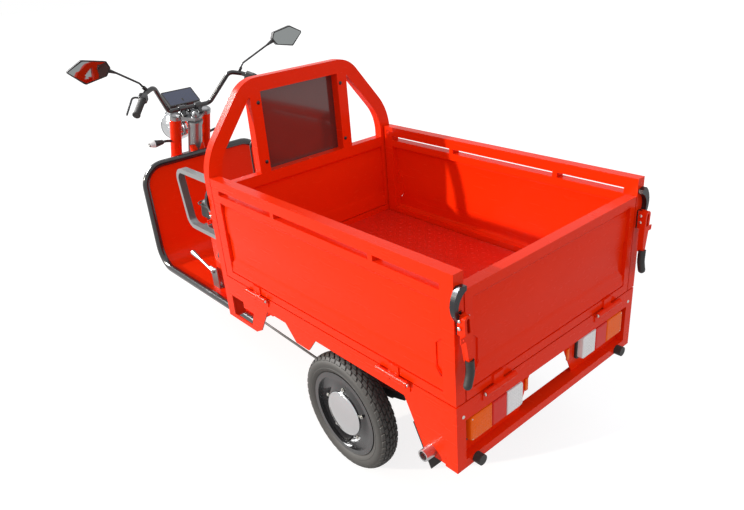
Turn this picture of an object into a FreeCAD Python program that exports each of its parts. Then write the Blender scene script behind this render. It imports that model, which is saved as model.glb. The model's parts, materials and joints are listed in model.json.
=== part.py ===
import FreeCAD, Part
import math
import os

V = FreeCAD.Vector

# Electric cargo tricycle. Millimetres. +X forward, +Y left, +Z up from the ground.
# Stations along X are counted forward from the load bed's rear face; save() shifts them
# so that the origin lies under the middle of the overall length.

# Running clearances
MOVE_GAP = 5.0            # between pieces that swing past each other
SEAT_GAP = 0.3            # between a soft piece and what carries it
PIN_GAP = 0.05            # radial, pin or shaft in its bore
BEAD_GAP = 1.0            # tyre to rim

# Wheels
TYRE_RADIUS = 230.0
TYRE_WIDTH = 84.0
TYRE_WALL = 9.0
TYRE_CROWN = 15.0         # rubber under the tread
BEAD_THICK = 13.0
RIM_RADIUS = 166.0        # flange
RIM_WIDTH = 72.0
RIM_SEAT = 152.0          # bead seat
RIM_SHEET = 4.0
RIM_WELL_HALF = 16.0      # drop centre, from the middle plane
RIM_WELL_DEPTH = 16.0
RIM_WELL_SLOPE = 4.0
DISC_FACE = 26.0          # outer face of the pressed disc, from the middle plane
DISC_FLAT_RADIUS = 92.0
DISC_DISH_RADIUS = 112.0
HUBCAP_RADIUS = 89.0
HUBCAP_DOME = 24.0        # height over the disc
HUBCAP_EDGE = 7.0         # height and width of its rounded edge
HUBCAP_GAP = 0.5
REAR_AXLE_X = 577.0
WHEEL_INSET = 50.0        # rear tyre's middle, in from the bed's side
AXLE_Z = TYRE_RADIUS
SPINDLE_RADIUS = 15.0
HUB_RADIUS = 30.0
HUB_OUTER = 40.0          # hub ends, from the wheel's middle plane
HUB_INNER = 34.0

# Half outline of a tyre over its rim: (share of its half width, share of its height)
TYRE_OUTLINE = ((1.0, 0.47), (0.86, 0.78), (0.67, 0.94), (0.0, 1.0))

# Load bed
GATE_LENGTH = 1270.0
HALF_WIDTH = 479.0
SEAM_Z = 576.0            # underside of the gates
GATE_DEPTH = 40.0
RAIL_TOP_Z = 998.0
RAIL_HEIGHT = 40.0
TOP_TUBE_Z = 938.0
TOP_TUBE_HEIGHT = 30.0
BOTTOM_TUBE_HEIGHT = 30.0
POST_WIDTH = 50.0
STANCHION_REAR = 330.0    # stanchions' middles, from the gate's rear and front ends
STANCHION_FRONT = 420.0
STANCHION_WIDTH = 20.0
SHEET = 2.5
FIELD_DEPTH = 4.0         # the pressed field, out from the base plane
PANEL_RECESS = 14.0       # from the gate's outer face to the sheet's base plane
RIM_DEPTH = 50.0          # box section under the seam
RIM_HEIGHT = 63.0
BED_FLOOR_Z = 580.0
HEADBOARD_GAP = 5.0
BEAM_INSET = 120.0         # main beams, in from the springs' middle
BEAM_WIDTH = 40.0
BEAM_HEIGHT = 60.0
CROSS_HEIGHT = 46.0
CROSS_WIDTH = 40.0
CROSS_COUNT = 4           # cross members, the outer two over the spring eyes

# Pressed ribs of a gate sheet: (height above the seam, outward from the base plane)
RIBS = (
    (28.0, 0.0), (34.0, 12.0), (47.0, 12.0), (61.0, 9.0), (80.0, 9.0), (107.0, 4.0),
    (286.0, 4.0), (308.0, 0.0), (315.0, 0.0), (322.0, 5.0), (328.0, 5.0), (332.0, 0.0),
    (334.0, 0.0),
)
NOTCH_LENGTH = 34.0       # along the sheet, at each end
NOTCH_HEIGHT = 130.0
NOTCH_LOW = 76.0          # above the seam
NOTCH_CHAMFER = 24.0

# Hinges of the gates
HINGE_OFFSET = 12.0       # pin's axis, out from the gate's face
HINGE_Z = 568.0
KNUCKLE_RADIUS = 9.5
HINGE_PIN_RADIUS = 5.0
HINGE_PIN_PROUD = 2.0
KNUCKLE_LENGTH = 46.0
KNUCKLE_GAP = 1.0
LEAF_GAP = 1.0            # swinging leaf to the gate's face
HINGE_LEAF = 4.0
HINGE_LEAF_HEIGHT = 30.0
SIDE_HINGE_INSET = (256.0, 234.0)  # hinge middles, from the gate's rear and front ends
TAIL_HINGE_INSET = 183.0  # from the bed's side
TAIL_POST_WIDTH = 30.0

# Latches, seen from the face that carries them
LATCH_PIVOT_Z = 850.0
LATCH_WIDTH = 22.0        # over the ears
LATCH_PLATE = 4.0
LATCH_PLATE_HALF = 32.0   # base plate, from its middle up and down
LATCH_EAR_REACH = 22.0
LATCH_SHIFT = 2.0         # out from the post's middle
RIVET_RADIUS = 4.5
RIVET_PROUD = 5.0
CLAW_THICK = 10.0
CLAW_REACH = 33.0         # its bulge to the outer side
CLAW_TOP = 114.0          # above the pivot
LEVER_X = 31.0            # grip's axis, from the face
LEVER_FACE = 36.0         # outer face of the lever's channel
LEVER_DEPTH = 20.0
LEVER_SHEET = 3.5
LEVER_TOP = 34.0          # top of its arch, above the pivot
LEVER_ARCH = 15.0         # half width at the arch
LEVER_WAIST = 40.0        # below the pivot, where it starts to taper
LEVER_CHANNEL = 116.0     # lower end of the channel, below the pivot
LEVER_TAIL = 8.0          # half width there
LEVER_SLOT = 6.0          # half width of the slot in the arch
LEVER_LENGTH = 202.0      # below the pivot
LEVER_LEAN_DEG = 4.0
LEVER_KICK = 16.0         # the grip's foot, back out
LEVER_GRIP_RADIUS = 11.0
LEVER_GRIP_LENGTH = 92.0
TAB_HEIGHT = 18.0
TAB_HOLE_RADIUS = 3.0
FRONT_LATCH_DROP = -24.0
FRONT_LATCH_SHIFT = 4.0

# Rear of the chassis
CORNER_WIDTH = 40.0
CORNER_LENGTH = 46.0
CHASSIS_BOTTOM_Z = 330.0
LOWER_BEAM_HEIGHT = 30.0
LAMP_PANEL_X = 30.0
LAMP_PANEL_SLANT = 68.0   # how far its inner edge leans in from foot to top
LAMP_PANEL_LAP = 18.0     # panel's foot, past the lamp's inner end
LAMP_LENGTH = 252.0
LAMP_HEIGHT = 90.0
LAMP_DEPTH = 30.0
LAMP_CORNER = 12.0
LAMP_GAP = 21.0           # to the corner post
LAMP_DROP = 1.0           # gasket, below the bed's rim
GASKET_THICK = 9.0
GASKET_LIP = 6.0          # gasket past the lens
LENS_JOINT = 2.0          # width and depth of the joints between lenses
LENS_JOINTS = (0.40, 0.68)  # shares of the lamp's length, from its outer end
SKIRT_INSET = 6.0
SKIRT_FRONT_TOP_X = 228.0
SKIRT_FRONT_FOOT_X = 142.0
SKIRT_LAP = 2.0
BUFFER_RADIUS = 18.0
BUFFER_REACH = 26.0
BUFFER_INSET = 85.0
GUARD_INSET = 99.0        # inner edge of the plates behind the wheels
GUARD_SHEET = 3.0
FLAP_SHEET = 4.0
FLAP_SHARES = (0.5, 1.32) # its ends along the skirt's front edge
STUB_X = 112.0
STUB_Z = 352.0
STUB_RADIUS = 20.0
STUB_BORE = 15.0
STUB_REACH = 34.0

# Headboard, hoop and window
HOOP_FACE = 57.0          # across the vehicle
HOOP_DEPTH = 40.0
HOOP_TOP_Z = 1337.0
HOOP_SHOULDER_INSET = 214.0
HOOP_KNEE_DROP = 271.0    # below the hoop's top
HOOP_FOOT_Z = 372.0
HOOP_BEND = 130.0         # outer radius at the shoulders
HOOP_KNEE_BEND = 260.0
BRACKET_DEPTH = 6.0
HEADBOARD_TOP_Z = 950.0
HEADBOARD_TOP_HEIGHT = 45.0
MULLION_INSET = 45.0      # mullion's middle, in from the hoop's shoulder
MULLION_WIDTH = 50.0
PANE_LAP = 16.0
PANE_THICK = 4.0

# Plates under the rim behind the hoop's feet: (back from the headboard, down from the rim)
BRACKET_OUTLINE = ((0.0, 0.0), (0.0, 136.0), (176.0, 136.0), (216.0, 114.0), (286.0, 0.0))
BRACKET_WINDOW = ((10.0, 24.0), (10.0, 116.0), (146.0, 116.0), (174.0, 52.0), (100.0, 52.0),
                  (100.0, 24.0))
HANGER_OUTLINE = ((411.0, 0.0), (470.0, 62.0), (548.0, 62.0), (597.0, 0.0))

# The cab's stations are counted from the hoop's front face
HEADBOARD_X = GATE_LENGTH + HEADBOARD_GAP
CAB_X = HEADBOARD_X + HOOP_DEPTH

# Steering
RAKE = math.radians(20.0)
HEAD_X = CAB_X + 1002.0   # a point on the steering axis
HEAD_Z = 941.0
HEAD_TUBE_RADIUS = 38.0
HEAD_TUBE_LOW = -190.0    # along the axis from that point
HEAD_TUBE_HIGH = 46.0
CUP_HEIGHT = 16.0
CUP_RADIUS = 42.0
STEM_RADIUS = 14.0
STEM_NUT_RADIUS = 20.0
STEM_NUT_HEIGHT = 14.0
FORK_HALF_SPAN = 88.0
FORK_OFFSET = 50.0
FORK_TUBE_RADIUS = 17.0
SLIDER_RADIUS = 22.0
SLIDER_LENGTH = 330.0
SLIDER_FOOT = 26.0        # below the axle
SHROUD_RADIUS = 30.0
SHROUD_LENGTH = 150.0     # below the lower crown
CROWN_THICK = 20.0
CROWN_REAR = 26.0         # behind the steering axis
CROWN_REAR_HALF = 14.0
CROWN_SHOULDER = 10.0     # behind the legs' axes
CROWN_FRONT = 22.0        # ahead of the legs' axes
CROWN_BOSS_RADIUS = 32.0
CROWN_GAP = 2.0           # between a crown and the head tube's cup
FENDER_GAP = 26.0         # tyre to fender
FENDER_HALF_WIDTH = 54.0
FENDER_DROP = 30.0
FENDER_SHOULDER = 14.0
FENDER_CROWN = 6.0        # rise from the shoulders to the middle
FENDER_LUG_RADIUS = 11.0
FENDER_FRONT_DEG = -4.0
FENDER_REAR_DEG = 118.0
BAR_RADIUS = 12.0
BAR_BEND = 38.0
BAR_TIP = (-217.0, 388.0, 1118.0)      # (ahead of the steering datum, left, up)
BAR_SHOULDER = (-104.0, 277.0, 1188.0)
BAR_PEAK = (-77.0, 216.0, 1204.0)
BAR_CLAMP = (18.0, 122.0, 1048.0)
RISER_Y = 48.0
RISER_RADIUS = 13.0
RISER_AHEAD = 18.0        # riser's foot, ahead of the steering axis
CLAMP_RADIUS = 19.0
CLAMP_HALF = 18.0
GRIP_RADIUS = 16.5
GRIP_LENGTH = 112.0
GRIP_CAP = 6.0
POD_LENGTH = 42.0         # switch pod beside the grip
POD_HALF = 20.0
POD_CORNER = 7.0
LEVER_BAR_RADIUS = 5.0
LEVER_STANDOFF = 52.0     # brake lever, ahead of the grip
STALK_ROOT_SHARE = 0.3    # mirror stalk's root, from the bar's shoulder to its peak
STALK_RADIUS = 5.0
STALK_BEND = (-102.0, 294.0, 1240.0)
NECK = (-164.0, 417.0, 1316.0)
NECK_LENGTH = 44.0
NECK_RADIUS = 11.0
MIRROR_BACK = 187.0       # glass, behind the steering datum
MIRROR_Y = 545.0
MIRROR_Z = 1346.0
MIRROR_LENGTH = 200.0
MIRROR_HEIGHT = 108.0
MIRROR_THICK = 26.0
MIRROR_CORNER = 9.0
MIRROR_LIP = 5.0          # frame round the glass
MIRROR_RECESS = 1.5
DISPLAY_AHEAD = 104.0
DISPLAY_Z = 1095.0
DISPLAY_WIDTH = 180.0
DISPLAY_LENGTH = 111.0
DISPLAY_THICK = 20.0
DISPLAY_CORNER = 7.0
DISPLAY_LIP = 6.0
DISPLAY_TILT_DEG = 34.0
DISPLAY_POST_RADIUS = 10.0
HEADLIGHT_RADIUS = 84.0
HEADLIGHT_AHEAD = 243.0   # its rim's plane
HEADLIGHT_DEPTH = 130.0
HEADLIGHT_RING = 30.0
HEADLIGHT_BOWL = ((0.3, 0.66), (0.6, 0.88))  # shares of its depth and of its radius
LENS_BULGE = 13.0
HEADLIGHT_Z = 925.0
HEADLIGHT_ARM_RADIUS = 9.0
SIGNAL_AXIS = -90.0       # root of the signals' stalks, along the steering axis
SIGNAL_AHEAD = 68.0
SIGNAL_INNER_Y = 168.0
SIGNAL_Z = 888.0
SIGNAL_RADIUS = 20.0
SIGNAL_LENGTH = 78.0
SIGNAL_STALK_RADIUS = 7.0

# Half outline of a mirror: (share of its half length outwards, share of its half height)
MIRROR_OUTLINE = ((1.0, 0.24), (0.21, 1.0), (-0.87, 0.6), (-1.0, 0.0), (-0.75, -0.63),
                  (0.28, -1.0))

# Rear axle and springs; Y places are counted in from the rear tyre's middle
REAR_TRACK_HALF = HALF_WIDTH - WHEEL_INSET
AXLE_TUBE_RADIUS = 28.0
DRUM_RADIUS = 82.0
DRUM_WIDTH = 38.0
DRUM_INSET = 39.0         # drum's outer face, from the tyre's middle
DIFF_RADIUS = 88.0
DIFF_SHOULDER = 72.0
DIFF_HALF = 62.0
DIFF_FLAT_HALF = 20.0
DIFF_NECK = 70.0          # length of the cones to the axle tube
DIFF_NECK_RADIUS = 38.0
MOTOR_RADIUS = 72.0
MOTOR_LENGTH = 290.0      # ahead of the axle
SPRING_INSET = 129.0
SPRING_WIDTH = 50.0
SPRING_HALF_SPAN = 380.0
SPRING_RISE = 140.0
SPRING_LEAF = 7.0
SPRING_LEAVES = 5
SPRING_STEP = 0.17        # share of the span by which each leaf is shorter
SPRING_LOW_Z = 300.0      # underside of the main leaf over the axle
SPRING_EYE_RADIUS = 16.0
SPRING_PIN_RADIUS = 8.0
SADDLE_HALF = 32.0
HANGER_HALF = 20.0
HANGER_SHEET = 6.0
HANGER_GAP = 1.0
HANGER_BRIDGE = 10.0
HANGER_FOOT = 22.0        # ears' reach below the eye
PIN_PROUD = 3.0

# Footwell and seat
FLOOR_TOP_Z = 262.0
FLOOR_SHEET = 3.0
FOOTWELL_INSET = 148.0     # footwell's side, in from the bed's
SHIELD_BACK = 32.0        # leg shield, behind the steering datum
SHIELD_TOP_Z = 806.0
SHIELD_CORNER = 110.0     # bends of the border tube
SHIELD_BEND = 105.0       # sheet, from floor to shield
FLOOR_LIP = 8.0
BORDER_RADIUS = 18.0
BORDER_REAR = 30.0        # its rear ends, ahead of the hoop
SEAT_BOX_REAR = 7.0       # behind which the pane and hoop stand
SEAT_BOX_LENGTH = 508.0
SEAT_BOX_INSET = 61.0     # seat box's side, in from the footwell's
SEAT_BOX_TOP_Z = 620.0
SEAT_BOX_WALL = 3.0
SEAT_BOX_CORNER = 30.0
SEAT_OVERHANG = 40.0
SEAT_SIDE = 15.0          # cushion, out past the seat box
SEAT_THICK = 95.0
SEAT_CORNER = 30.0
CUSHION_GAP = 2.7         # between the base and back cushions
BACK_HALF = 225.0
BACK_THICK = 62.0
BACK_TOP_Z = 1075.0
BACK_CORNER = 22.0
ARM_STANDOFF = 60.0       # middle of the loop's band, out from the seat box
ARM_DEPTH = 34.0
ARM_BAND = 21.0
ARM_REAR = 128.0          # from the seat box's rear
ARM_TOP_LENGTH = 443.0
ARM_FOOT_LENGTH = 402.0
ARM_LOW_Z = 600.0
ARM_HIGH_Z = 893.0
ARM_CORNER = 60.0
ARM_LUG_INSET = 120.0
ARM_LUG_LENGTH = 40.0
ARM_LUG_HEIGHT = 18.0
FRAME_TUBE_RADIUS = 20.0
FRAME_TUBE_BEND = 50.0
FRAME_TUBE_Z = 228.0
FRAME_TUBE_LAP = 60.0     # overlap with the main beams
FRAME_DROP = (105.0, 255.0)  # where the tubes start and end their drop, from the hoop
NECK_AHEAD = 9.0          # where the tubes rise, ahead of the steering datum
NECK_RUN = 146.0          # length over which they draw together
NECK_LOW_HALF = 110.0
NECK_HALF = 21.0          # tubes from the middle, below the head tube
NECK_TOP_Z = 690.0
CROSS_BAR_LOW_Z = 226.0
CROSS_BAR_AHEAD = (385.0, 835.0)
CROSS_BAR_WIDTH = 40.0
BATTERY_GAP = 20.0        # to the seat box's front wall
BATTERY_LENGTH = 220.0
BATTERY_HEIGHT = 190.0

# Small controls: the parking brake lever and the brake pedal with its rods
PARK_BACK = 40.0          # pivot, behind the seat box's front
PARK_STANDOFF = 30.0
PARK_PIVOT_HEIGHT = 90.0  # over the floor
PARK_RUN = 195.0
PARK_RISE = 48.0
PARK_BRACKET_HALF = 30.0
PARK_BRACKET_HEIGHT = 110.0
PARK_SHEET = 4.0
PARK_PIN_RADIUS = 9.0
PARK_BAR_RADIUS = 7.0
PARK_GRIP_LENGTH = 64.0
PARK_GRIP_RADII = (9.0, 13.0)
PEDAL_BACK = 237.0        # its foot, behind the steering datum
PEDAL_Y = -150.0
PEDAL_FOOT_HALF = (30.0, 22.0)
PEDAL_FOOT_SHEET = 5.0
PEDAL_ARM_RUN = 62.0
PEDAL_ARM_RADIUS = 8.0
PEDAL_PAD_HALF = (34.0, 36.0)
PEDAL_PAD_THICK = 10.0
PEDAL_PAD_TILT_DEG = -20.0
BRAKE_ROD_RADIUS = 5.0
BRAKE_ROD_RISE = 55.0     # over the axle at the drum
BRAKE_ROD_SHARE = 0.8     # of the drum's radius, ahead of the axle
BRAKE_ROD_DRAW = 0.86     # its front end's share of the drum's distance out
BRAKE_ROD_DROP = 12.0     # under the floor

FRONT_AXLE_X = HEAD_X + (HEAD_Z - AXLE_Z) * math.tan(RAKE) + FORK_OFFSET / math.cos(RAKE)
FRONT_REACH = FRONT_AXLE_X + TYRE_RADIUS + FENDER_GAP
REAR_REACH = LEVER_X + LEVER_GRIP_RADIUS
DATUM_X = -(FRONT_REACH - REAR_REACH) / 2.0
INNER_Y = HALF_WIDTH - GATE_DEPTH
RIM_TOP_Z = SEAM_Z - MOVE_GAP
CROSS_LOW_Z = BED_FLOOR_Z - FLOOR_SHEET - CROSS_HEIGHT
SEAT_BOX_REAR_X = CAB_X + SEAT_BOX_REAR
SEAT_BOX_FRONT_X = SEAT_BOX_REAR_X + SEAT_BOX_LENGTH
SHIELD_X = HEAD_X - SHIELD_BACK
BORDER_REAR_X = CAB_X + BORDER_REAR
SPRING_Y = REAR_TRACK_HALF - SPRING_INSET
BEAM_HALF_SPAN = SPRING_Y - BEAM_INSET
FOOTWELL_HALF_WIDTH = HALF_WIDTH - FOOTWELL_INSET
SEAT_BOX_HALF = FOOTWELL_HALF_WIDTH - SEAT_BOX_INSET
SEAT_HALF = SEAT_BOX_HALF + SEAT_SIDE
DRUM_OUTER_Y = REAR_TRACK_HALF - DRUM_INSET
DRUM_INNER_Y = DRUM_OUTER_Y - DRUM_WIDTH
LAMP_OUTER_Y = HALF_WIDTH - CORNER_WIDTH - LAMP_GAP
LAMP_INNER_Y = LAMP_OUTER_Y - LAMP_LENGTH
LAMP_MID_Z = RIM_TOP_Z - RIM_HEIGHT - LAMP_DROP - GASKET_LIP - LAMP_HEIGHT / 2
HOOP_KNEE_Z = HOOP_TOP_Z - HOOP_KNEE_DROP
HOOP_SHOULDER_Y = HALF_WIDTH - HOOP_SHOULDER_INSET
MULLION_Y = HOOP_SHOULDER_Y - MULLION_INSET
SIDE_HINGE_X = (SIDE_HINGE_INSET[0], GATE_LENGTH - SIDE_HINGE_INSET[1])
TAIL_HINGE_Y = HALF_WIDTH - TAIL_HINGE_INSET


def block(x0, x1, y0, y1, z0, z1):
    """A box between two corners."""
    return Part.makeBox(x1 - x0, y1 - y0, z1 - z0, V(x0, y0, z0))


def rod(start, end, radius):
    """A round bar between two points."""
    run = end - start
    return Part.makeCylinder(radius, run.Length, start, run)


def pipe(start, end, outer, inner):
    """A hollow round tube between two points."""
    return rod(start, end, outer).cut(rod(start, end, inner))


def prism(points, run):
    """A flat polygon pushed along a vector."""
    wire = Part.makePolygon(list(points) + [points[0]])
    return Part.Face(wire).extrude(run)


def join(shapes):
    """One solid from pieces that share material."""
    first, rest = shapes[0], list(shapes[1:])
    return first.fuse(rest).removeSplitter() if rest else first


def mirrored(shape):
    """The same piece on the other side of the vehicle."""
    return shape.mirror(V(0, 0, 0), V(0, 1, 0))


def both_sides(shape):
    """Left and right copies that don't touch."""
    return Part.makeCompound([shape, mirrored(shape)])


def rounded_path(points, bend):
    """A wire of straight runs with a tangent arc at each corner."""
    edges = []
    start = points[0]
    for before, corner, after in zip(points, points[1:], points[2:]):
        back = (before - corner).normalize()
        ahead = (after - corner).normalize()
        half_turn = (math.pi - back.getAngle(ahead)) / 2.0
        reach = bend * math.tan(half_turn)
        entry = corner + back * reach
        leave = corner + ahead * reach
        inward = (back + ahead).normalize()
        middle = corner + inward * (bend / math.cos(half_turn) - bend)
        if (entry - start).Length > 0.01:
            edges.append(Part.makeLine(start, entry))
        edges.append(Part.Arc(entry, middle, leave).toShape())
        start = leave
    edges.append(Part.makeLine(start, points[-1]))
    return Part.Wire(edges)


def bent_bar(points, radius, bend):
    """A round bar swept along straight runs and arcs."""
    path = rounded_path(points, bend)
    ring = Part.Wire([Part.makeCircle(radius, points[0], points[1] - points[0])])
    return path.makePipeShell([ring], True, True)


def cap_middle(foot, radius, top):
    """A point half way out on a ball's cap, given its foot and radius and its top."""
    rise = top - foot
    ball = (radius * radius + rise * rise) / (2 * rise)
    half = math.sqrt(ball * ball - radius * radius / 4)
    return (top - ball + math.copysign(half, rise), radius / 2)


def turned(profile, centre):
    """A ring or disc turned about Y through centre.

    The profile is (y, radius) points. An entry of four numbers is an arc: a point that it
    passes, then its end.
    """
    def place(y, radius):
        return V(centre.x, centre.y + y, centre.z + radius)

    edges = []
    start = place(*profile[0][-2:])
    for entry in list(profile[1:]) + [profile[0][-2:]]:
        end = place(*entry[-2:])
        if len(entry) == 4:
            edges.append(Part.Arc(start, place(*entry[:2]), end).toShape())
        else:
            edges.append(Part.makeLine(start, end))
        start = end
    return Part.Face(Part.Wire(edges)).revolve(centre, V(0, 1, 0), 360)


def along_steering(distance, ahead=0.0, side=0.0):
    """A point by its distance up the steering axis, ahead of it and to its left."""
    up = V(-math.sin(RAKE), 0, math.cos(RAKE))
    forward = V(math.cos(RAKE), 0, math.sin(RAKE))
    return V(HEAD_X, side, HEAD_Z) + up * distance + forward * ahead


def ahead_of_head(place):
    """A point from its distance ahead of the steering datum, to the left and up."""
    ahead, left, up = place
    return V(HEAD_X + ahead, left, up)


def save(name, shape):
    """Write one piece in the vehicle's own frame."""
    placed = shape.copy()
    placed.translate(V(DATUM_X, 0, 0))
    placed.exportStep(os.path.join("parts", name + ".step"))


def notch_outline(end, inward, inset):
    """A notch at one end of a sheet, with cut corners, drawn in by inset."""
    low, high = NOTCH_LOW + inset, NOTCH_LOW + NOTCH_HEIGHT - inset
    deep = end + inward * (NOTCH_LENGTH - inset)
    bevel = deep - inward * NOTCH_CHAMFER
    return [V(end, 0, low), V(bevel, 0, low), V(deep, 0, low + NOTCH_CHAMFER),
            V(deep, 0, high - NOTCH_CHAMFER), V(bevel, 0, high), V(end, 0, high)]


def gate_sheet(length):
    """A pressed sheet along X from 0, its base plane at Y 0 and ribs towards +Y."""
    outer = [V(0, depth + SHEET, height) for height, depth in RIBS]
    inner = [V(0, depth, height) for height, depth in reversed(RIBS)]
    sheet = prism(outer + inner, V(length, 0, 0))
    deepest = max(depth for _, depth in RIBS) + SHEET
    for end, inward in ((0.0, 1.0), (length, -1.0)):
        around = notch_outline(end, inward, 0.0)
        hollow = prism(notch_outline(end, inward, SHEET), V(0, deepest, 0))
        hollow.translate(V(0, SHEET, 0))
        pan = prism(around, V(0, FIELD_DEPTH + SHEET, 0)).cut(hollow)
        sheet = sheet.cut(prism(around, V(0, deepest, 0))).fuse(pan)
    return sheet.removeSplitter()


def hinge_fixed(x):
    """The bed's half of a left side hinge: outer knuckles, pin and leaves."""
    axis_y = HALF_WIDTH + HINGE_OFFSET
    half = KNUCKLE_LENGTH / 2.0
    reach = half + KNUCKLE_GAP + KNUCKLE_LENGTH + HINGE_PIN_PROUD
    pieces = [rod(V(x - reach, axis_y, HINGE_Z), V(x + reach, axis_y, HINGE_Z), HINGE_PIN_RADIUS)]
    for low in (x - half - KNUCKLE_GAP - KNUCKLE_LENGTH, x + half + KNUCKLE_GAP):
        high = low + KNUCKLE_LENGTH
        pieces += [
            rod(V(low, axis_y, HINGE_Z), V(high, axis_y, HINGE_Z), KNUCKLE_RADIUS),
            block(low, high, HALF_WIDTH, HALF_WIDTH + HINGE_LEAF,
                  HINGE_Z - HINGE_LEAF_HEIGHT, HINGE_Z),
            block(low, high, HALF_WIDTH, axis_y, HINGE_Z - KNUCKLE_RADIUS,
                  HINGE_Z - KNUCKLE_RADIUS + HINGE_LEAF),
        ]
    return pieces


def hinge_moving(x):
    """The gate's half of a left side hinge: the middle knuckle and its leaf."""
    axis_y = HALF_WIDTH + HINGE_OFFSET
    low, high = x - KNUCKLE_LENGTH / 2.0, x + KNUCKLE_LENGTH / 2.0
    bore = rod(V(low, axis_y, HINGE_Z), V(high, axis_y, HINGE_Z), HINGE_PIN_RADIUS + PIN_GAP)
    swing = HALF_WIDTH + LEAF_GAP
    top = HINGE_Z + KNUCKLE_RADIUS
    knuckle = join([
        rod(V(low, axis_y, HINGE_Z), V(high, axis_y, HINGE_Z), KNUCKLE_RADIUS),
        block(low, high, swing, axis_y, top - HINGE_LEAF, top),
        block(low, high, swing, swing + HINGE_LEAF, top - HINGE_LEAF, SEAM_Z + HINGE_LEAF_HEIGHT),
        block(low, high, HALF_WIDTH, swing + HINGE_LEAF, SEAM_Z, SEAM_Z + HINGE_LEAF_HEIGHT),
    ])
    return [knuckle.cut(bore)]


def to_rear(pieces, y):
    """Carry hinge pieces made for the left side at X 0 to the tail, at the given Y."""
    placed = []
    for piece in pieces:
        copy = piece.copy()
        copy.rotate(V(0, 0, 0), V(0, 0, 1), 90)
        copy.translate(V(HALF_WIDTH, y, 0))
        placed.append(copy)
    return placed


def gate_left_frame():
    """Posts, tubes, rail and hinge halves of the left side gate."""
    y0, y1 = INNER_Y, HALF_WIDTH
    under_rail = RAIL_TOP_Z - RAIL_HEIGHT
    pieces = [
        block(0, POST_WIDTH, y0, y1, SEAM_Z, RAIL_TOP_Z),
        block(GATE_LENGTH - POST_WIDTH, GATE_LENGTH, y0, y1, SEAM_Z, RAIL_TOP_Z),
        block(0, GATE_LENGTH, y0, y1, under_rail, RAIL_TOP_Z),
        block(0, GATE_LENGTH, y0, y1, TOP_TUBE_Z - TOP_TUBE_HEIGHT, TOP_TUBE_Z),
        block(0, GATE_LENGTH, y0, y1, SEAM_Z, SEAM_Z + BOTTOM_TUBE_HEIGHT),
    ]
    for x in (STANCHION_REAR, GATE_LENGTH - STANCHION_FRONT):
        pieces.append(block(x - STANCHION_WIDTH / 2, x + STANCHION_WIDTH / 2, y0, y1,
                            TOP_TUBE_Z, under_rail))
    for x in SIDE_HINGE_X:
        pieces += hinge_moving(x)
    return join(pieces)


def between_tubes(half_length):
    """The space for a sheet between a gate's bottom and top tubes."""
    return block(-half_length, half_length, -half_length, half_length,
                 SEAM_Z + BOTTOM_TUBE_HEIGHT, TOP_TUBE_Z - TOP_TUBE_HEIGHT)


def gate_left_panel():
    """The pressed sheet in the left side gate's frame."""
    sheet = gate_sheet(GATE_LENGTH - 2 * POST_WIDTH)
    sheet.translate(V(POST_WIDTH, HALF_WIDTH - PANEL_RECESS - SHEET, SEAM_Z))
    return sheet.common(between_tubes(GATE_LENGTH))


def tailgate_frame():
    """Posts, tubes and hinge halves of the tailgate."""
    half = INNER_Y - MOVE_GAP
    inner = half - TAIL_POST_WIDTH
    pieces = [
        block(0, GATE_DEPTH, -half, half, TOP_TUBE_Z - TOP_TUBE_HEIGHT, TOP_TUBE_Z),
        block(0, GATE_DEPTH, -half, half, SEAM_Z, SEAM_Z + BOTTOM_TUBE_HEIGHT),
        block(0, GATE_DEPTH, inner, half, SEAM_Z, TOP_TUBE_Z),
        block(0, GATE_DEPTH, -half, -inner, SEAM_Z, TOP_TUBE_Z),
    ]
    for y in (TAIL_HINGE_Y, -TAIL_HINGE_Y):
        pieces += to_rear(hinge_moving(0), y)
    return join(pieces)


def tailgate_panel():
    """The pressed sheet in the tailgate's frame."""
    width = 2 * (INNER_Y - MOVE_GAP - TAIL_POST_WIDTH)
    sheet = gate_sheet(width)
    sheet.rotate(V(0, 0, 0), V(0, 0, 1), 90)
    sheet.translate(V(PANEL_RECESS + SHEET, -width / 2, SEAM_Z))
    return sheet.common(between_tubes(width))


def lever_outline(inset):
    """The latch lever's outline seen from behind, from its pivot, drawn in by inset."""
    arch, tail = LEVER_ARCH - inset, LEVER_TAIL - inset
    crown = LEVER_TOP - LEVER_ARCH
    low = inset - LEVER_CHANNEL
    return Part.Face(Part.Wire([
        Part.makeLine(V(0, tail, low), V(0, arch, -LEVER_WAIST)),
        Part.makeLine(V(0, arch, -LEVER_WAIST), V(0, arch, crown)),
        Part.Arc(V(0, arch, crown), V(0, 0, crown + arch), V(0, -arch, crown)).toShape(),
        Part.makeLine(V(0, -arch, crown), V(0, -arch, -LEVER_WAIST)),
        Part.makeLine(V(0, -arch, -LEVER_WAIST), V(0, -tail, low)),
        Part.makeLine(V(0, -tail, low), V(0, tail, low)),
    ]))


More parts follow.
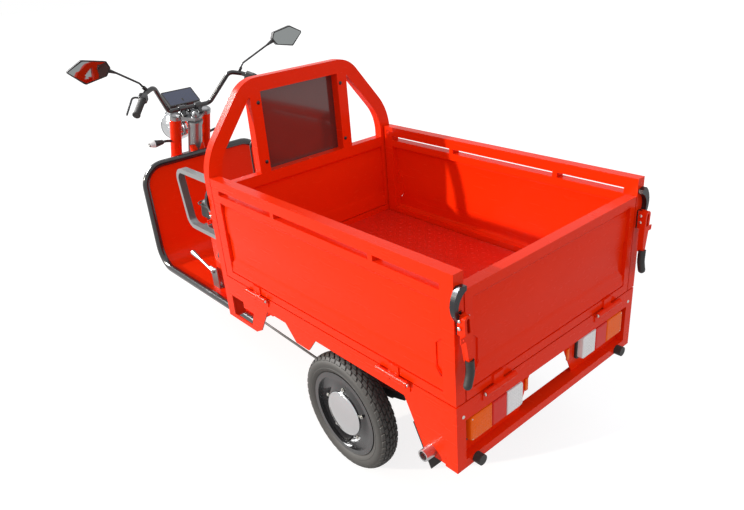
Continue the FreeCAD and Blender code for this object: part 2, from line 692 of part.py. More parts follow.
def latch_lever():
    """The lever: a channel with a slotted arch over the pivot and a curved grip below."""
    web = -LEVER_FACE + LEVER_SHEET
    channel = lever_outline(0).extrude(V(LEVER_DEPTH, 0, 0))
    channel.translate(V(-LEVER_FACE, 0, 0))
    hollow = lever_outline(LEVER_SHEET).extrude(V(LEVER_DEPTH, 0, 0))
    hollow.translate(V(web, 0, 0))
    crown = LEVER_TOP - LEVER_ARCH
    slot = block(-LEVER_FACE, web, -LEVER_SLOT, LEVER_SLOT, crown - LEVER_WAIST, crown)
    slot = slot.fuse(rod(V(-LEVER_FACE, 0, crown), V(web, 0, crown), LEVER_SLOT))
    grip_top = LEVER_GRIP_LENGTH - LEVER_LENGTH
    middle = grip_top - LEVER_GRIP_LENGTH / 2
    foot = V(-LEVER_X, LEVER_KICK, LEVER_GRIP_RADIUS - LEVER_LENGTH)
    grip = bent_bar([V(-LEVER_X, 0, grip_top), V(-LEVER_X, 0, middle), foot],
                    LEVER_GRIP_RADIUS, LEVER_GRIP_LENGTH / 2)
    tab = block(-LEVER_FACE, web, LEVER_ARCH - LEVER_SHEET, LEVER_ARCH + TAB_HEIGHT,
                -LEVER_WAIST, TAB_HEIGHT - LEVER_WAIST)
    eye_y, eye_z = LEVER_ARCH + TAB_HEIGHT / 2, TAB_HEIGHT / 2 - LEVER_WAIST
    tab = tab.cut(rod(V(-LEVER_FACE, eye_y, eye_z), V(web, eye_y, eye_z), TAB_HOLE_RADIUS))
    end = Part.makeSphere(LEVER_GRIP_RADIUS, foot)
    lever = join([channel.cut(hollow).cut(slot), tab, grip, end])
    lever.rotate(V(0, 0, 0), V(1, 0, 0), -LEVER_LEAN_DEG)
    return lever


def latch_claw():
    """The crescent claw beside the lever, from its pivot up over the tailgate's end."""
    low, middle, reach, top = RIVET_RADIUS, CLAW_TOP / 2, CLAW_REACH, CLAW_TOP
    inner = reach / 2
    claw = Part.Face(Part.Wire([
        Part.makeLine(V(0, -RIVET_RADIUS, low), V(0, 2 * RIVET_RADIUS, low)),
        Part.Arc(V(0, 2 * RIVET_RADIUS, low), V(0, reach, middle), V(0, inner / 2, top)).toShape(),
        Part.makeLine(V(0, inner / 2, top), V(0, -inner, top - RIVET_RADIUS)),
        Part.makeLine(V(0, -inner, top - RIVET_RADIUS), V(0, -inner, top - reach / 2)),
        Part.Arc(V(0, -inner, top - reach / 2), V(0, inner, middle),
                 V(0, -RIVET_RADIUS, low)).toShape(),
    ])).extrude(V(CLAW_THICK, 0, 0))
    claw.translate(V(LEVER_DEPTH - LEVER_FACE + SEAT_GAP, 0, 0))
    return claw


def latch():
    """A claw latch on a plane at X 0 that faces the rear, on the axis Y 0."""
    ear = LATCH_WIDTH / 2.0
    pieces = [block(-LATCH_PLATE, 0, -ear, ear, -LATCH_PLATE_HALF, LATCH_PLATE_HALF),
              latch_lever(), latch_claw()]
    for side in (-1.0, 1.0):
        y0, y1 = sorted((side * ear, side * (ear - LATCH_PLATE)))
        pieces.append(block(-LATCH_EAR_REACH, 0, y0, y1, -LATCH_PLATE_HALF, LATCH_PLATE_HALF))
    reach = LEVER_ARCH + RIVET_PROUD
    pin_x = -(LATCH_EAR_REACH + LEVER_FACE - LEVER_DEPTH) / 2
    for z in (-RIVET_RADIUS, LEVER_TOP - LEVER_ARCH):
        pieces.append(rod(V(pin_x, -reach, z), V(pin_x, reach, z), RIVET_RADIUS))
    whole = join(pieces)
    whole.translate(V(0, 0, LATCH_PIVOT_Z))
    return whole


def on_rear_post(shape):
    """Put a latch piece on the rear face of the left gate's rear post."""
    placed = shape.copy()
    placed.translate(V(0, INNER_Y + GATE_DEPTH / 2 + LATCH_SHIFT, 0))
    return placed


def on_hoop_leg(shape):
    """Put a latch piece on the front face of the left hoop leg."""
    placed = shape.mirror(V(0, 0, 0), V(1, 0, 0))
    placed.translate(V(CAB_X, HALF_WIDTH - HOOP_FACE / 2 + FRONT_LATCH_SHIFT, FRONT_LATCH_DROP))
    return placed


def bed_rim():
    """The box-section ring under the seam, with cross members and hinge halves."""
    low, high = RIM_TOP_Z - RIM_HEIGHT, RIM_TOP_Z
    inner = HALF_WIDTH - RIM_DEPTH
    ring = block(0, CAB_X, -HALF_WIDTH, HALF_WIDTH, low, high)
    ring = ring.cut(block(RIM_DEPTH, CAB_X - RIM_DEPTH, -inner, inner, low, high))
    pieces = [ring]
    for index in range(CROSS_COUNT):
        share = 2.0 * index / (CROSS_COUNT - 1) - 1.0
        x = REAR_AXLE_X + share * SPRING_HALF_SPAN - CROSS_WIDTH / 2
        pieces.append(block(x, x + CROSS_WIDTH, -inner, inner, CROSS_LOW_Z, high))
    for x in SIDE_HINGE_X:
        hinge = hinge_fixed(x)
        pieces += hinge + [mirrored(piece) for piece in hinge]
    for y in (TAIL_HINGE_Y, -TAIL_HINGE_Y):
        pieces += to_rear(hinge_fixed(0), y)
    return join(pieces)


def bed_floor():
    """The floor pan, a sheet with its edges folded down onto the rim."""
    rear = GATE_DEPTH + MOVE_GAP
    half = INNER_Y - MOVE_GAP
    fold = FLOOR_SHEET
    pan = block(rear, HEADBOARD_X, -half, half, RIM_TOP_Z, BED_FLOOR_Z)
    return pan.cut(block(rear + fold, HEADBOARD_X - fold, -half + fold, half - fold, RIM_TOP_Z,
                         BED_FLOOR_Z - fold))


def main_beams():
    """The lengthwise beams under the bed and the tubes that reach the steering head."""
    rear_tube_z = CROSS_LOW_Z - BEAM_HEIGHT + FRAME_TUBE_RADIUS - FLOOR_SHEET
    neck_x = HEAD_X + NECK_AHEAD
    pieces = []
    for side in (1.0, -1.0):
        y = side * BEAM_HALF_SPAN
        pieces.append(block(RIM_DEPTH, CAB_X - RIM_DEPTH, y - BEAM_WIDTH / 2, y + BEAM_WIDTH / 2,
                            CROSS_LOW_Z - BEAM_HEIGHT, CROSS_LOW_Z))
        path = [V(HEADBOARD_X - FRAME_TUBE_LAP, y, rear_tube_z),
                V(CAB_X + FRAME_DROP[0], y, rear_tube_z),
                V(CAB_X + FRAME_DROP[1], y, FRAME_TUBE_Z),
                V(neck_x - NECK_RUN, y, FRAME_TUBE_Z),
                V(neck_x, side * NECK_LOW_HALF, FRAME_TUBE_Z),
                V(neck_x, side * NECK_HALF, NECK_TOP_Z),
                along_steering(HEAD_TUBE_LOW / 2, -STEM_RADIUS, side * NECK_HALF)]
        pieces.append(bent_bar(path, FRAME_TUBE_RADIUS, FRAME_TUBE_BEND))
    for ahead in CROSS_BAR_AHEAD:
        x = CAB_X + ahead
        pieces.append(block(x, x + CROSS_BAR_WIDTH, -FOOTWELL_HALF_WIDTH, FOOTWELL_HALF_WIDTH,
                            CROSS_BAR_LOW_Z, FLOOR_TOP_Z - FLOOR_SHEET))
    return join(pieces).cut(head_outline())


def head_outline():
    """The head tube and its cups without their bore."""
    body = rod(along_steering(HEAD_TUBE_LOW), along_steering(HEAD_TUBE_HIGH), HEAD_TUBE_RADIUS)
    cups = [rod(along_steering(start), along_steering(start + CUP_HEIGHT), CUP_RADIUS)
            for start in (HEAD_TUBE_LOW, HEAD_TUBE_HIGH - CUP_HEIGHT)]
    return join([body] + cups)


def steering_head():
    """The head tube with its bearing cups."""
    return head_outline().cut(rod(along_steering(HEAD_TUBE_LOW), along_steering(HEAD_TUBE_HIGH),
                                  STEM_RADIUS + PIN_GAP))


def rear_frame():
    """Corner posts, lower beam, pressed skirts, lamp plates and the plates behind the wheels."""
    top = RIM_TOP_Z - RIM_HEIGHT
    low = CHASSIS_BOTTOM_Z
    inner = HALF_WIDTH - CORNER_WIDTH
    skirt_y = HALF_WIDTH - SKIRT_INSET
    rear = CORNER_LENGTH - SKIRT_LAP
    outline = [V(rear, skirt_y, low), V(SKIRT_FRONT_FOOT_X, skirt_y, low),
               V(SKIRT_FRONT_TOP_X, skirt_y, top), V(rear, skirt_y, top)]
    side = [block(0, CORNER_LENGTH, inner, HALF_WIDTH, low, top),
            prism(outline, V(0, -FLOOR_SHEET, 0)), lamp_panel(), wheel_guard()]
    beam = block(0, RIM_DEPTH, -HALF_WIDTH, HALF_WIDTH, low, low + LOWER_BEAM_HEIGHT)
    return join([beam] + side + [mirrored(piece) for piece in side])


def guard_plate(top_share, foot_share, outer, thick, offset):
    """A slanted plate behind the left wheel, along the skirt's front edge."""
    top = RIM_TOP_Z - RIM_HEIGHT
    inner = HALF_WIDTH - GUARD_INSET
    run = V(SKIRT_FRONT_FOOT_X - SKIRT_FRONT_TOP_X, 0, CHASSIS_BOTTOM_Z - top)
    start = V(SKIRT_FRONT_TOP_X, inner, top)
    across = V(-run.z, 0, run.x).normalize()
    first = start + run * top_share + across * offset
    last = start + run * foot_share + across * offset
    return prism([first, last, last + across * thick, first + across * thick],
                 V(0, outer - inner, 0))


def wheel_guard():
    """The left steel plate behind the wheel, between the skirt and the wheel's inner side."""
    plate = guard_plate(0.0, 1.0, HALF_WIDTH - SKIRT_INSET - FLOOR_SHEET, GUARD_SHEET, 0.0)
    return plate.common(block(0, REAR_AXLE_X, 0, HALF_WIDTH, CHASSIS_BOTTOM_Z,
                              RIM_TOP_Z - RIM_HEIGHT))


def mud_flaps():
    """Rubber flaps on the lower ends of those plates."""
    return both_sides(guard_plate(*FLAP_SHARES, HALF_WIDTH - SKIRT_INSET, FLAP_SHEET, GUARD_SHEET))


def lamp_panel():
    """The left plate that carries a tail lamp, with a slanted inner edge."""
    top = RIM_TOP_Z - RIM_HEIGHT
    low = CHASSIS_BOTTOM_Z + LOWER_BEAM_HEIGHT
    inner = HALF_WIDTH - CORNER_WIDTH
    foot_y = LAMP_INNER_Y - LAMP_PANEL_LAP
    return prism([V(LAMP_PANEL_X, foot_y, low), V(LAMP_PANEL_X, inner, low),
                  V(LAMP_PANEL_X, inner, top), V(LAMP_PANEL_X, foot_y - LAMP_PANEL_SLANT, top)],
                 V(FLOOR_SHEET, 0, 0))


def rounded_slab(x0, x1, lip):
    """The left tail lamp's outline between two depths, grown by lip, with rounded corners."""
    half = LAMP_HEIGHT / 2 + lip
    slab = block(x0, x1, LAMP_INNER_Y - lip, LAMP_OUTER_Y + lip, LAMP_MID_Z - half,
                 LAMP_MID_Z + half)
    return slab.makeFillet(LAMP_CORNER + lip, [edge for edge in slab.Edges if runs_along_x(edge)])


def tail_lamps():
    """The two tail lamps: a rubber gasket and three lenses with joints between them."""
    face = LAMP_PANEL_X - LAMP_DEPTH
    back = LAMP_PANEL_X - GASKET_THICK
    lens = rounded_slab(face, LAMP_PANEL_X, 0)
    for share in LENS_JOINTS:
        y = LAMP_OUTER_Y - share * LAMP_LENGTH
        lens = lens.cut(block(face, face + LENS_JOINT, y - LENS_JOINT / 2, y + LENS_JOINT / 2,
                              LAMP_MID_Z - LAMP_HEIGHT, LAMP_MID_Z + LAMP_HEIGHT))
    return both_sides(join([rounded_slab(back, LAMP_PANEL_X, GASKET_LIP), lens]))


def runs_along_x(edge):
    """Whether a straight edge lies along X."""
    return abs(edge.tangentAt(edge.FirstParameter).x) > 0.9


def buffers():
    """Rubber stops on the lower beam, for the lowered tailgate."""
    z = CHASSIS_BOTTOM_Z + LOWER_BEAM_HEIGHT / 2
    y = HALF_WIDTH - BUFFER_INSET
    return both_sides(rod(V(-BUFFER_REACH, y, z), V(0, y, z), BUFFER_RADIUS))


def pipe_stubs():
    """Steel stubs under the side gates, for a lowered gate."""
    inner = HALF_WIDTH - SKIRT_INSET
    return both_sides(pipe(V(STUB_X, inner, STUB_Z), V(STUB_X, HALF_WIDTH + STUB_REACH, STUB_Z),
                           STUB_RADIUS, STUB_BORE))


def hoop_solid(inset, shoulder_radius, knee_radius):
    """The space inside the hoop's outline, drawn in by inset."""
    half = HALF_WIDTH - inset
    slope = math.atan2(HOOP_TOP_Z - HOOP_KNEE_Z, HALF_WIDTH - HOOP_SHOULDER_Y)
    knee = HOOP_KNEE_Z - inset * math.tan(math.pi / 4 - slope / 2)
    shoulder = HOOP_SHOULDER_Y - inset * math.tan(slope / 2)
    top = HOOP_TOP_Z - inset
    solid = prism([V(0, half, HOOP_FOOT_Z), V(0, half, knee), V(0, shoulder, top),
                   V(0, -shoulder, top), V(0, -half, knee), V(0, -half, HOOP_FOOT_Z)],
                  V(HOOP_DEPTH, 0, 0))
    for radius, height in ((shoulder_radius, top), (knee_radius, knee)):
        bends = [edge for edge in solid.Edges
                 if runs_along_x(edge) and abs(edge.CenterOfMass.z - height) < 1.0]
        solid = solid.makeFillet(radius, bends)
    return solid


def hoop():
    """The bed's front posts and the hoop over the seat, bent from one box tube."""
    tube = hoop_solid(0, HOOP_BEND, HOOP_KNEE_BEND)
    tube = tube.cut(hoop_solid(HOOP_FACE, HOOP_BEND - HOOP_FACE, HOOP_KNEE_BEND - HOOP_FACE))
    tube.translate(V(HEADBOARD_X, 0, 0))
    return tube.cut(block(0, CAB_X, -HALF_WIDTH, HALF_WIDTH, RIM_TOP_Z - RIM_HEIGHT, RIM_TOP_Z))


def headboard():
    """The bed's front wall and the posts that hold the window."""
    half = HALF_WIDTH - HOOP_FACE
    x0, x1 = HEADBOARD_X, CAB_X
    sheet = gate_sheet(2 * half)
    sheet.rotate(V(0, 0, 0), V(0, 0, 1), 90)
    sheet.translate(V(x0 + PANEL_RECESS + SHEET, -half, SEAM_Z))
    pieces = [
        block(x0, x1, -half, half, HEADBOARD_TOP_Z - HEADBOARD_TOP_HEIGHT, HEADBOARD_TOP_Z),
        block(x0, x1, -half, half, RIM_TOP_Z, SEAM_Z + BOTTOM_TUBE_HEIGHT),
        sheet,
    ]
    for side in (1.0, -1.0):
        middle = side * MULLION_Y
        pieces.append(block(x0, x1, middle - MULLION_WIDTH / 2, middle + MULLION_WIDTH / 2,
                            HEADBOARD_TOP_Z, HOOP_TOP_Z - HOOP_FACE))
    return join(pieces)


def pane():
    """The tinted window pane, bolted to the front of its posts."""
    half = MULLION_Y - MULLION_WIDTH / 2 + PANE_LAP
    return block(CAB_X, CAB_X + PANE_THICK, -half, half, HEADBOARD_TOP_Z - PANE_LAP,
                 HOOP_TOP_Z - HOOP_FACE + PANE_LAP)


def seat_box(frame):
    """The battery box that carries the seat, a closed shell round the frame tubes."""
    wall = SEAT_BOX_WALL
    outer = block(SEAT_BOX_REAR_X, SEAT_BOX_FRONT_X, -SEAT_BOX_HALF, SEAT_BOX_HALF,
                  FLOOR_TOP_Z, SEAT_BOX_TOP_Z)
    upright = [edge for edge in outer.Edges
               if abs(edge.tangentAt(edge.FirstParameter).z) > 0.9
               and edge.CenterOfMass.x > SEAT_BOX_FRONT_X - 1]
    outer = outer.makeFillet(SEAT_BOX_CORNER, upright)
    inner = block(SEAT_BOX_REAR_X + wall, SEAT_BOX_FRONT_X - wall, -SEAT_BOX_HALF + wall,
                  SEAT_BOX_HALF - wall, FLOOR_TOP_Z, SEAT_BOX_TOP_Z - wall)
    return outer.cut(inner).cut(frame)


def battery():
    """The battery pack inside the seat box, one plain block."""
    front = SEAT_BOX_FRONT_X - SEAT_BOX_WALL - BATTERY_GAP
    half = BEAM_HALF_SPAN - FRAME_TUBE_RADIUS - MOVE_GAP
    return block(front - BATTERY_LENGTH, front, -half, half,
                 FLOOR_TOP_Z, FLOOR_TOP_Z + BATTERY_HEIGHT)


def seat_cushion():
    """The seat's base cushion."""
    top = SEAT_BOX_TOP_Z + SEAT_THICK
    rear = CAB_X + PANE_THICK + SEAT_GAP + BACK_THICK + CUSHION_GAP
    pad = block(rear, SEAT_BOX_FRONT_X + SEAT_OVERHANG, -SEAT_HALF, SEAT_HALF,
                SEAT_BOX_TOP_Z + SEAT_GAP, top)
    return pad.makeFillet(SEAT_CORNER, [edge for edge in pad.Edges
                                        if edge.CenterOfMass.z > top - 1])


def seat_back():
    """The seat's back cushion, against the headboard."""
    rear = CAB_X + PANE_THICK + SEAT_GAP
    low = SEAT_BOX_TOP_Z + SEAT_THICK + SEAT_GAP
    front = rear + BACK_THICK
    pad = block(rear, front, -BACK_HALF, BACK_HALF, low, BACK_TOP_Z)
    return pad.makeFillet(BACK_CORNER, [edge for edge in pad.Edges
                                        if edge.CenterOfMass.x > front - 1])


def arm_solid(inset, corner):
    """The space inside the left armrest's outline, drawn in by inset."""
    y0 = SEAT_BOX_HALF + ARM_STANDOFF - ARM_DEPTH / 2
    rear = SEAT_BOX_REAR_X + ARM_REAR
    solid = prism([V(rear + inset, y0, ARM_LOW_Z + inset),
                   V(rear + ARM_FOOT_LENGTH - inset, y0, ARM_LOW_Z + inset),
                   V(rear + ARM_TOP_LENGTH - inset, y0, ARM_HIGH_Z - inset),
                   V(rear + inset, y0, ARM_HIGH_Z - inset)], V(0, ARM_DEPTH, 0))
    bends = [edge for edge in solid.Edges if abs(edge.tangentAt(edge.FirstParameter).y) > 0.9]
    return solid.makeFillet(corner, bends)


def armrests():
    """A closed band on each side of the seat, on lugs from the seat box."""
    band = arm_solid(0, ARM_CORNER).cut(arm_solid(ARM_BAND, ARM_CORNER - ARM_BAND))
    pieces = [band]
    rear = SEAT_BOX_REAR_X + ARM_REAR
    for x in (rear + ARM_LUG_INSET, rear + ARM_FOOT_LENGTH - ARM_LUG_INSET):
        pieces.append(block(x, x + ARM_LUG_LENGTH, SEAT_BOX_HALF, SEAT_BOX_HALF + ARM_STANDOFF,
                            ARM_LOW_Z, ARM_LOW_Z + ARM_LUG_HEIGHT))
    return both_sides(join(pieces))


def footwell(frame):
    """The footwell's floor, with a small lip along its sides, and its leg shield."""
    front = SHIELD_X - SHIELD_BEND
    half = FOOTWELL_HALF_WIDTH
    low = FLOOR_TOP_Z - FLOOR_SHEET
    pan = block(BORDER_REAR_X, front, -half, half, low, FLOOR_TOP_Z + FLOOR_LIP)
    pan = pan.cut(block(BORDER_REAR_X, front, -half + FLOOR_SHEET, half - FLOOR_SHEET,
                        FLOOR_TOP_Z, FLOOR_TOP_Z + FLOOR_LIP))
    return join([pan, leg_shield()]).cut(frame)


def leg_shield():
    """The upright sheet before the rider's legs, curved into the floor at its foot."""
    half = FOOTWELL_HALF_WIDTH
    top = SHIELD_TOP_Z - BORDER_RADIUS
    bend, sheet = SHIELD_BEND, FLOOR_SHEET
    centre = V(SHIELD_X - bend, -half, FLOOR_TOP_Z + bend)
    diagonal = V(math.sqrt(0.5), 0, -math.sqrt(0.5))
    foot_in, foot_out = V(centre.x, -half, FLOOR_TOP_Z), V(centre.x, -half, FLOOR_TOP_Z - sheet)
    knee_in, knee_out = V(SHIELD_X, -half, centre.z), V(SHIELD_X + sheet, -half, centre.z)
    outline = Part.Wire([
        Part.Arc(foot_in, centre + diagonal * bend, knee_in).toShape(),
        Part.makeLine(knee_in, V(SHIELD_X, -half, top)),
        Part.makeLine(V(SHIELD_X, -half, top), V(SHIELD_X + sheet, -half, top)),
        Part.makeLine(V(SHIELD_X + sheet, -half, top), knee_out),
        Part.Arc(knee_out, centre + diagonal * (bend + sheet), foot_out).toShape(),
        Part.makeLine(foot_out, foot_in),
    ])
    plate = Part.Face(outline).extrude(V(0, 2 * half, 0))
    corners = [edge for edge in plate.Edges
               if edge.CenterOfMass.z > top - 1 and runs_along_x(edge)]
    return plate.makeFillet(SHIELD_CORNER - BORDER_RADIUS, corners)


def border_tube():
    """The black tube round the footwell and leg shield."""
    y = FOOTWELL_HALF_WIDTH + BORDER_RADIUS
    x = SHIELD_X + FLOOR_SHEET / 2
    z = FLOOR_TOP_Z - FLOOR_SHEET / 2
    points = [V(BORDER_REAR_X, y, z), V(x, y, z), V(x, y, SHIELD_TOP_Z),
              V(x, -y, SHIELD_TOP_Z), V(x, -y, z), V(BORDER_REAR_X, -y, z)]
    return bent_bar(points, BORDER_RADIUS, SHIELD_CORNER)


def hanging_plate(outline):
    """A plate flush with the bed's left side, from its outline back and down."""
    top = RIM_TOP_Z - RIM_HEIGHT
    points = [V(HEADBOARD_X - back, HALF_WIDTH, top - down) for back, down in outline]
    return prism(points, V(0, -BRACKET_DEPTH, 0))


def side_brackets():
    """Plates under the bed's rim behind the hoop's feet, each with a window."""
    bracket = hanging_plate(BRACKET_OUTLINE).cut(hanging_plate(BRACKET_WINDOW))
    hanger = hanging_plate(HANGER_OUTLINE)
    return Part.makeCompound([bracket, mirrored(bracket), hanger, mirrored(hanger)])


def leaf_springs():
    """A stack of curved leaves on each side, eyes at both ends of the longest."""
    rise, half = SPRING_RISE, SPRING_HALF_SPAN
    radius = (half * half + rise * rise) / (2 * rise)
    low_y = SPRING_Y - SPRING_WIDTH / 2
    centre = V(REAR_AXLE_X, low_y, SPRING_LOW_Z + SPRING_LEAF + radius)
    pieces = []
    for index in range(SPRING_LEAVES):
        inner = radius + index * SPRING_LEAF
        reach = half * (1.0 - SPRING_STEP * index)
        ring = Part.makeCylinder(inner + SPRING_LEAF, SPRING_WIDTH, centre, V(0, 1, 0))
        ring = ring.cut(Part.makeCylinder(inner, SPRING_WIDTH, centre, V(0, 1, 0)))
        pieces.append(ring.common(block(REAR_AXLE_X - reach, REAR_AXLE_X + reach, 0,
                                        low_y + SPRING_WIDTH, 0, centre.z)))
    eye_z = spring_eye_z()
    eyes = [V(REAR_AXLE_X + side * half, low_y, eye_z) for side in (-1.0, 1.0)]
    across = V(0, SPRING_WIDTH, 0)
    spring = join(pieces + [rod(eye, eye + across, SPRING_EYE_RADIUS) for eye in eyes])
    for eye in eyes:
        spring = spring.cut(rod(eye, eye + across, SPRING_PIN_RADIUS + PIN_GAP))
    return both_sides(spring)


def spring_eye_z():
    """The height of the spring eyes."""
    return SPRING_LOW_Z + SPRING_LEAF + SPRING_RISE - SPRING_LEAF / 2


def spring_hangers():
    """Forked plates with a pin under the cross members, one for each spring eye."""
    eye_z = spring_eye_z()
    half, sheet = HANGER_HALF, HANGER_SHEET
    hangers = []
    inner = SPRING_Y - SPRING_WIDTH / 2 - HANGER_GAP
    outer = SPRING_Y + SPRING_WIDTH / 2 + HANGER_GAP
    for side in (-1.0, 1.0):
        x = REAR_AXLE_X + side * SPRING_HALF_SPAN
        ears = [block(x - half, x + half, y0, y0 + sheet, eye_z - HANGER_FOOT, CROSS_LOW_Z)
                for y0 in (inner - sheet, outer)]
        bridge = block(x - half, x + half, inner - sheet, outer + sheet,
                       CROSS_LOW_Z - HANGER_BRIDGE, CROSS_LOW_Z)
        pin = rod(V(x, inner - sheet - PIN_PROUD, eye_z), V(x, outer + sheet + PIN_PROUD, eye_z),
                  SPRING_PIN_RADIUS)
        hanger = join(ears + [bridge, pin])
        hangers += [hanger, mirrored(hanger)]
    return Part.makeCompound(hangers)


def rear_axle():
    """Axle tube, gear housing, motor, brake plates and wheel spindles."""
    x, z = REAR_AXLE_X, AXLE_Z
    half = [(DIFF_FLAT_HALF, DIFF_RADIUS), (DIFF_HALF, DIFF_SHOULDER),
            (DIFF_HALF + DIFF_NECK, DIFF_NECK_RADIUS), (DIFF_HALF + DIFF_NECK, 0.0)]
    housing = turned([(-y, radius) for y, radius in reversed(half)] + half, V(x, 0, z))
    motor = rod(V(x, 0, z), V(x + MOTOR_LENGTH, 0, z), MOTOR_RADIUS)
    pieces = [housing, motor,
              rod(V(x, -DRUM_INNER_Y, z), V(x, DRUM_INNER_Y, z), AXLE_TUBE_RADIUS)]
    saddle_top = SPRING_LOW_Z + SPRING_LEAF - SPRING_LEAVES * SPRING_LEAF
    spindle_end = REAR_TRACK_HALF + HUB_OUTER + HUBCAP_GAP * 2
    side = [
        rod(V(x, DRUM_INNER_Y, z), V(x, DRUM_OUTER_Y, z), DRUM_RADIUS),
        rod(V(x, DRUM_OUTER_Y, z), V(x, spindle_end, z), SPINDLE_RADIUS),
        block(x - SADDLE_HALF, x + SADDLE_HALF, SPRING_Y - SPRING_WIDTH / 2,
              SPRING_Y + SPRING_WIDTH / 2, z, saddle_top),
    ]
    pieces += side + [mirrored(piece) for piece in side]
    return join(pieces)


def fork_legs():
    """The telescopic legs and the front axle across their feet."""
    foot = -axle_depth()
    pieces = []
    for side in (1.0, -1.0):
        y = side * FORK_HALF_SPAN
        pieces += [
            rod(along_steering(foot, FORK_OFFSET, y),
                along_steering(HEAD_TUBE_HIGH + CROWN_GAP + CROWN_THICK, FORK_OFFSET, y),
                FORK_TUBE_RADIUS),
            rod(along_steering(foot - SLIDER_FOOT, FORK_OFFSET, y),
                along_steering(foot + SLIDER_LENGTH, FORK_OFFSET, y), SLIDER_RADIUS),
        ]
    pieces.append(rod(V(FRONT_AXLE_X, -FORK_HALF_SPAN, AXLE_Z),
                      V(FRONT_AXLE_X, FORK_HALF_SPAN, AXLE_Z), SPINDLE_RADIUS))
    return join(pieces)


def axle_depth():
    """Distance down the steering axis from its datum to the level of the front axle."""
    return (HEAD_Z - AXLE_Z) / math.cos(RAKE) + FORK_OFFSET * math.tan(RAKE)


def crown(base):
    """A fork crown: a plate that tapers from the stem out to bosses round both legs."""
    half = FORK_HALF_SPAN
    edge = [(-CROWN_REAR, CROWN_REAR_HALF), (FORK_OFFSET - CROWN_SHOULDER, half),
            (FORK_OFFSET + CROWN_FRONT, half)]
    outline = [V(x, y, 0) for x, y in edge] + [V(x, -y, 0) for x, y in reversed(edge)]
    plate = prism(outline, V(0, 0, CROWN_THICK))
    plate.rotate(V(0, 0, 0), V(0, 1, 0), -math.degrees(RAKE))
    plate.translate(along_steering(base))
    bosses = [rod(along_steering(base, FORK_OFFSET, side * half),
                  along_steering(base + CROWN_THICK, FORK_OFFSET, side * half),
                  CROWN_BOSS_RADIUS)
              for side in (1.0, -1.0)]
    return join([plate] + bosses)


def fork_crowns(legs):
    """The steering stem with its two crowns, clamped on the legs, and its domed nut."""
    low_base = HEAD_TUBE_LOW - CROWN_GAP - CROWN_THICK
    high_base = HEAD_TUBE_HIGH + CROWN_GAP
    top = high_base + CROWN_THICK
    dome = Part.makeSphere(STEM_RADIUS, along_steering(top + STEM_NUT_HEIGHT))
    pieces = [crown(low_base), crown(high_base),
              rod(along_steering(low_base), along_steering(top + STEM_NUT_HEIGHT), STEM_RADIUS),
              rod(along_steering(top), along_steering(top + STEM_NUT_HEIGHT), STEM_NUT_RADIUS),
              dome]
    return join(pieces).cut(legs)


def fork_shrouds():
    """Red covers round the fork tubes, above and below the lower crown."""
    low_base = HEAD_TUBE_LOW - CROWN_GAP - CROWN_THICK
    high_base = HEAD_TUBE_HIGH + CROWN_GAP
    covers = []
    for start, end in ((low_base - SHROUD_LENGTH, low_base), (low_base + CROWN_THICK, high_base)):
        for side in (1.0, -1.0):
            y = side * FORK_HALF_SPAN
            covers.append(pipe(along_steering(start, FORK_OFFSET, y),
                               along_steering(end, FORK_OFFSET, y),
                               SHROUD_RADIUS, SLIDER_RADIUS + BEAD_GAP))
    return Part.makeCompound(covers)


def fender_section(drop_in, shoulder_in):
    """Half of the fender's section, as (side, radius) points drawn in by two amounts."""
    radius = TYRE_RADIUS + FENDER_GAP
    half = FENDER_HALF_WIDTH
    return [(half - drop_in, radius - FENDER_DROP),
            (half - FENDER_SHOULDER - shoulder_in / 2, radius - FENDER_CROWN - shoulder_in),
            (0.0, radius - shoulder_in)]


def front_fender():
    """The curved fender over the front tyre, held between the sliders."""
    outer = fender_section(0.0, 0.0)
    inner = fender_section(FLOOR_SHEET, FLOOR_SHEET)
    ring = [(-y, r) for y, r in outer] + outer[1::-1] + inner[:2]
    ring += [(-y, r) for y, r in reversed(inner)]
    section = [V(0, y, r) for y, r in ring]
    face = Part.Face(Part.makePolygon(section + [section[0]]))
    face.rotate(V(0, 0, 0), V(0, 1, 0), 90 - FENDER_FRONT_DEG)
    shell = face.revolve(V(0, 0, 0), V(0, -1, 0), FENDER_REAR_DEG - FENDER_FRONT_DEG)
    shell.translate(V(FRONT_AXLE_X, 0, AXLE_Z))
    reach = TYRE_RADIUS + FENDER_GAP - FENDER_DROP / 2
    lug_x = FRONT_AXLE_X - reach * math.sin(RAKE)
    lug_z = AXLE_Z + reach * math.cos(RAKE)
    lugs = [rod(V(lug_x, side * (FENDER_HALF_WIDTH - FLOOR_SHEET), lug_z),
                V(lug_x, side * (FORK_HALF_SPAN - SLIDER_RADIUS), lug_z), FENDER_LUG_RADIUS)
            for side in (1.0, -1.0)]
    return join([shell] + lugs)


def tilted_box(x0, x1, y0, y1, z0, z1, origin, tilt_deg):
    """A box tilted nose-up about Y and placed on a point."""
    shape = block(x0, x1, y0, y1, z0, z1)
    shape.rotate(V(0, 0, 0), V(0, 1, 0), -tilt_deg)
    shape.translate(origin)
    return shape


def beside_grip(shape):
    """Put a piece modelled along X from the bar's tip, with +Y ahead, on the left grip."""
    tip = ahead_of_head(BAR_TIP)
    run = ahead_of_head(BAR_SHOULDER) - tip
    placed = shape.copy()
    placed.Placement = FreeCAD.Placement(tip, FreeCAD.Rotation(V(1, 0, 0), run))
    return placed


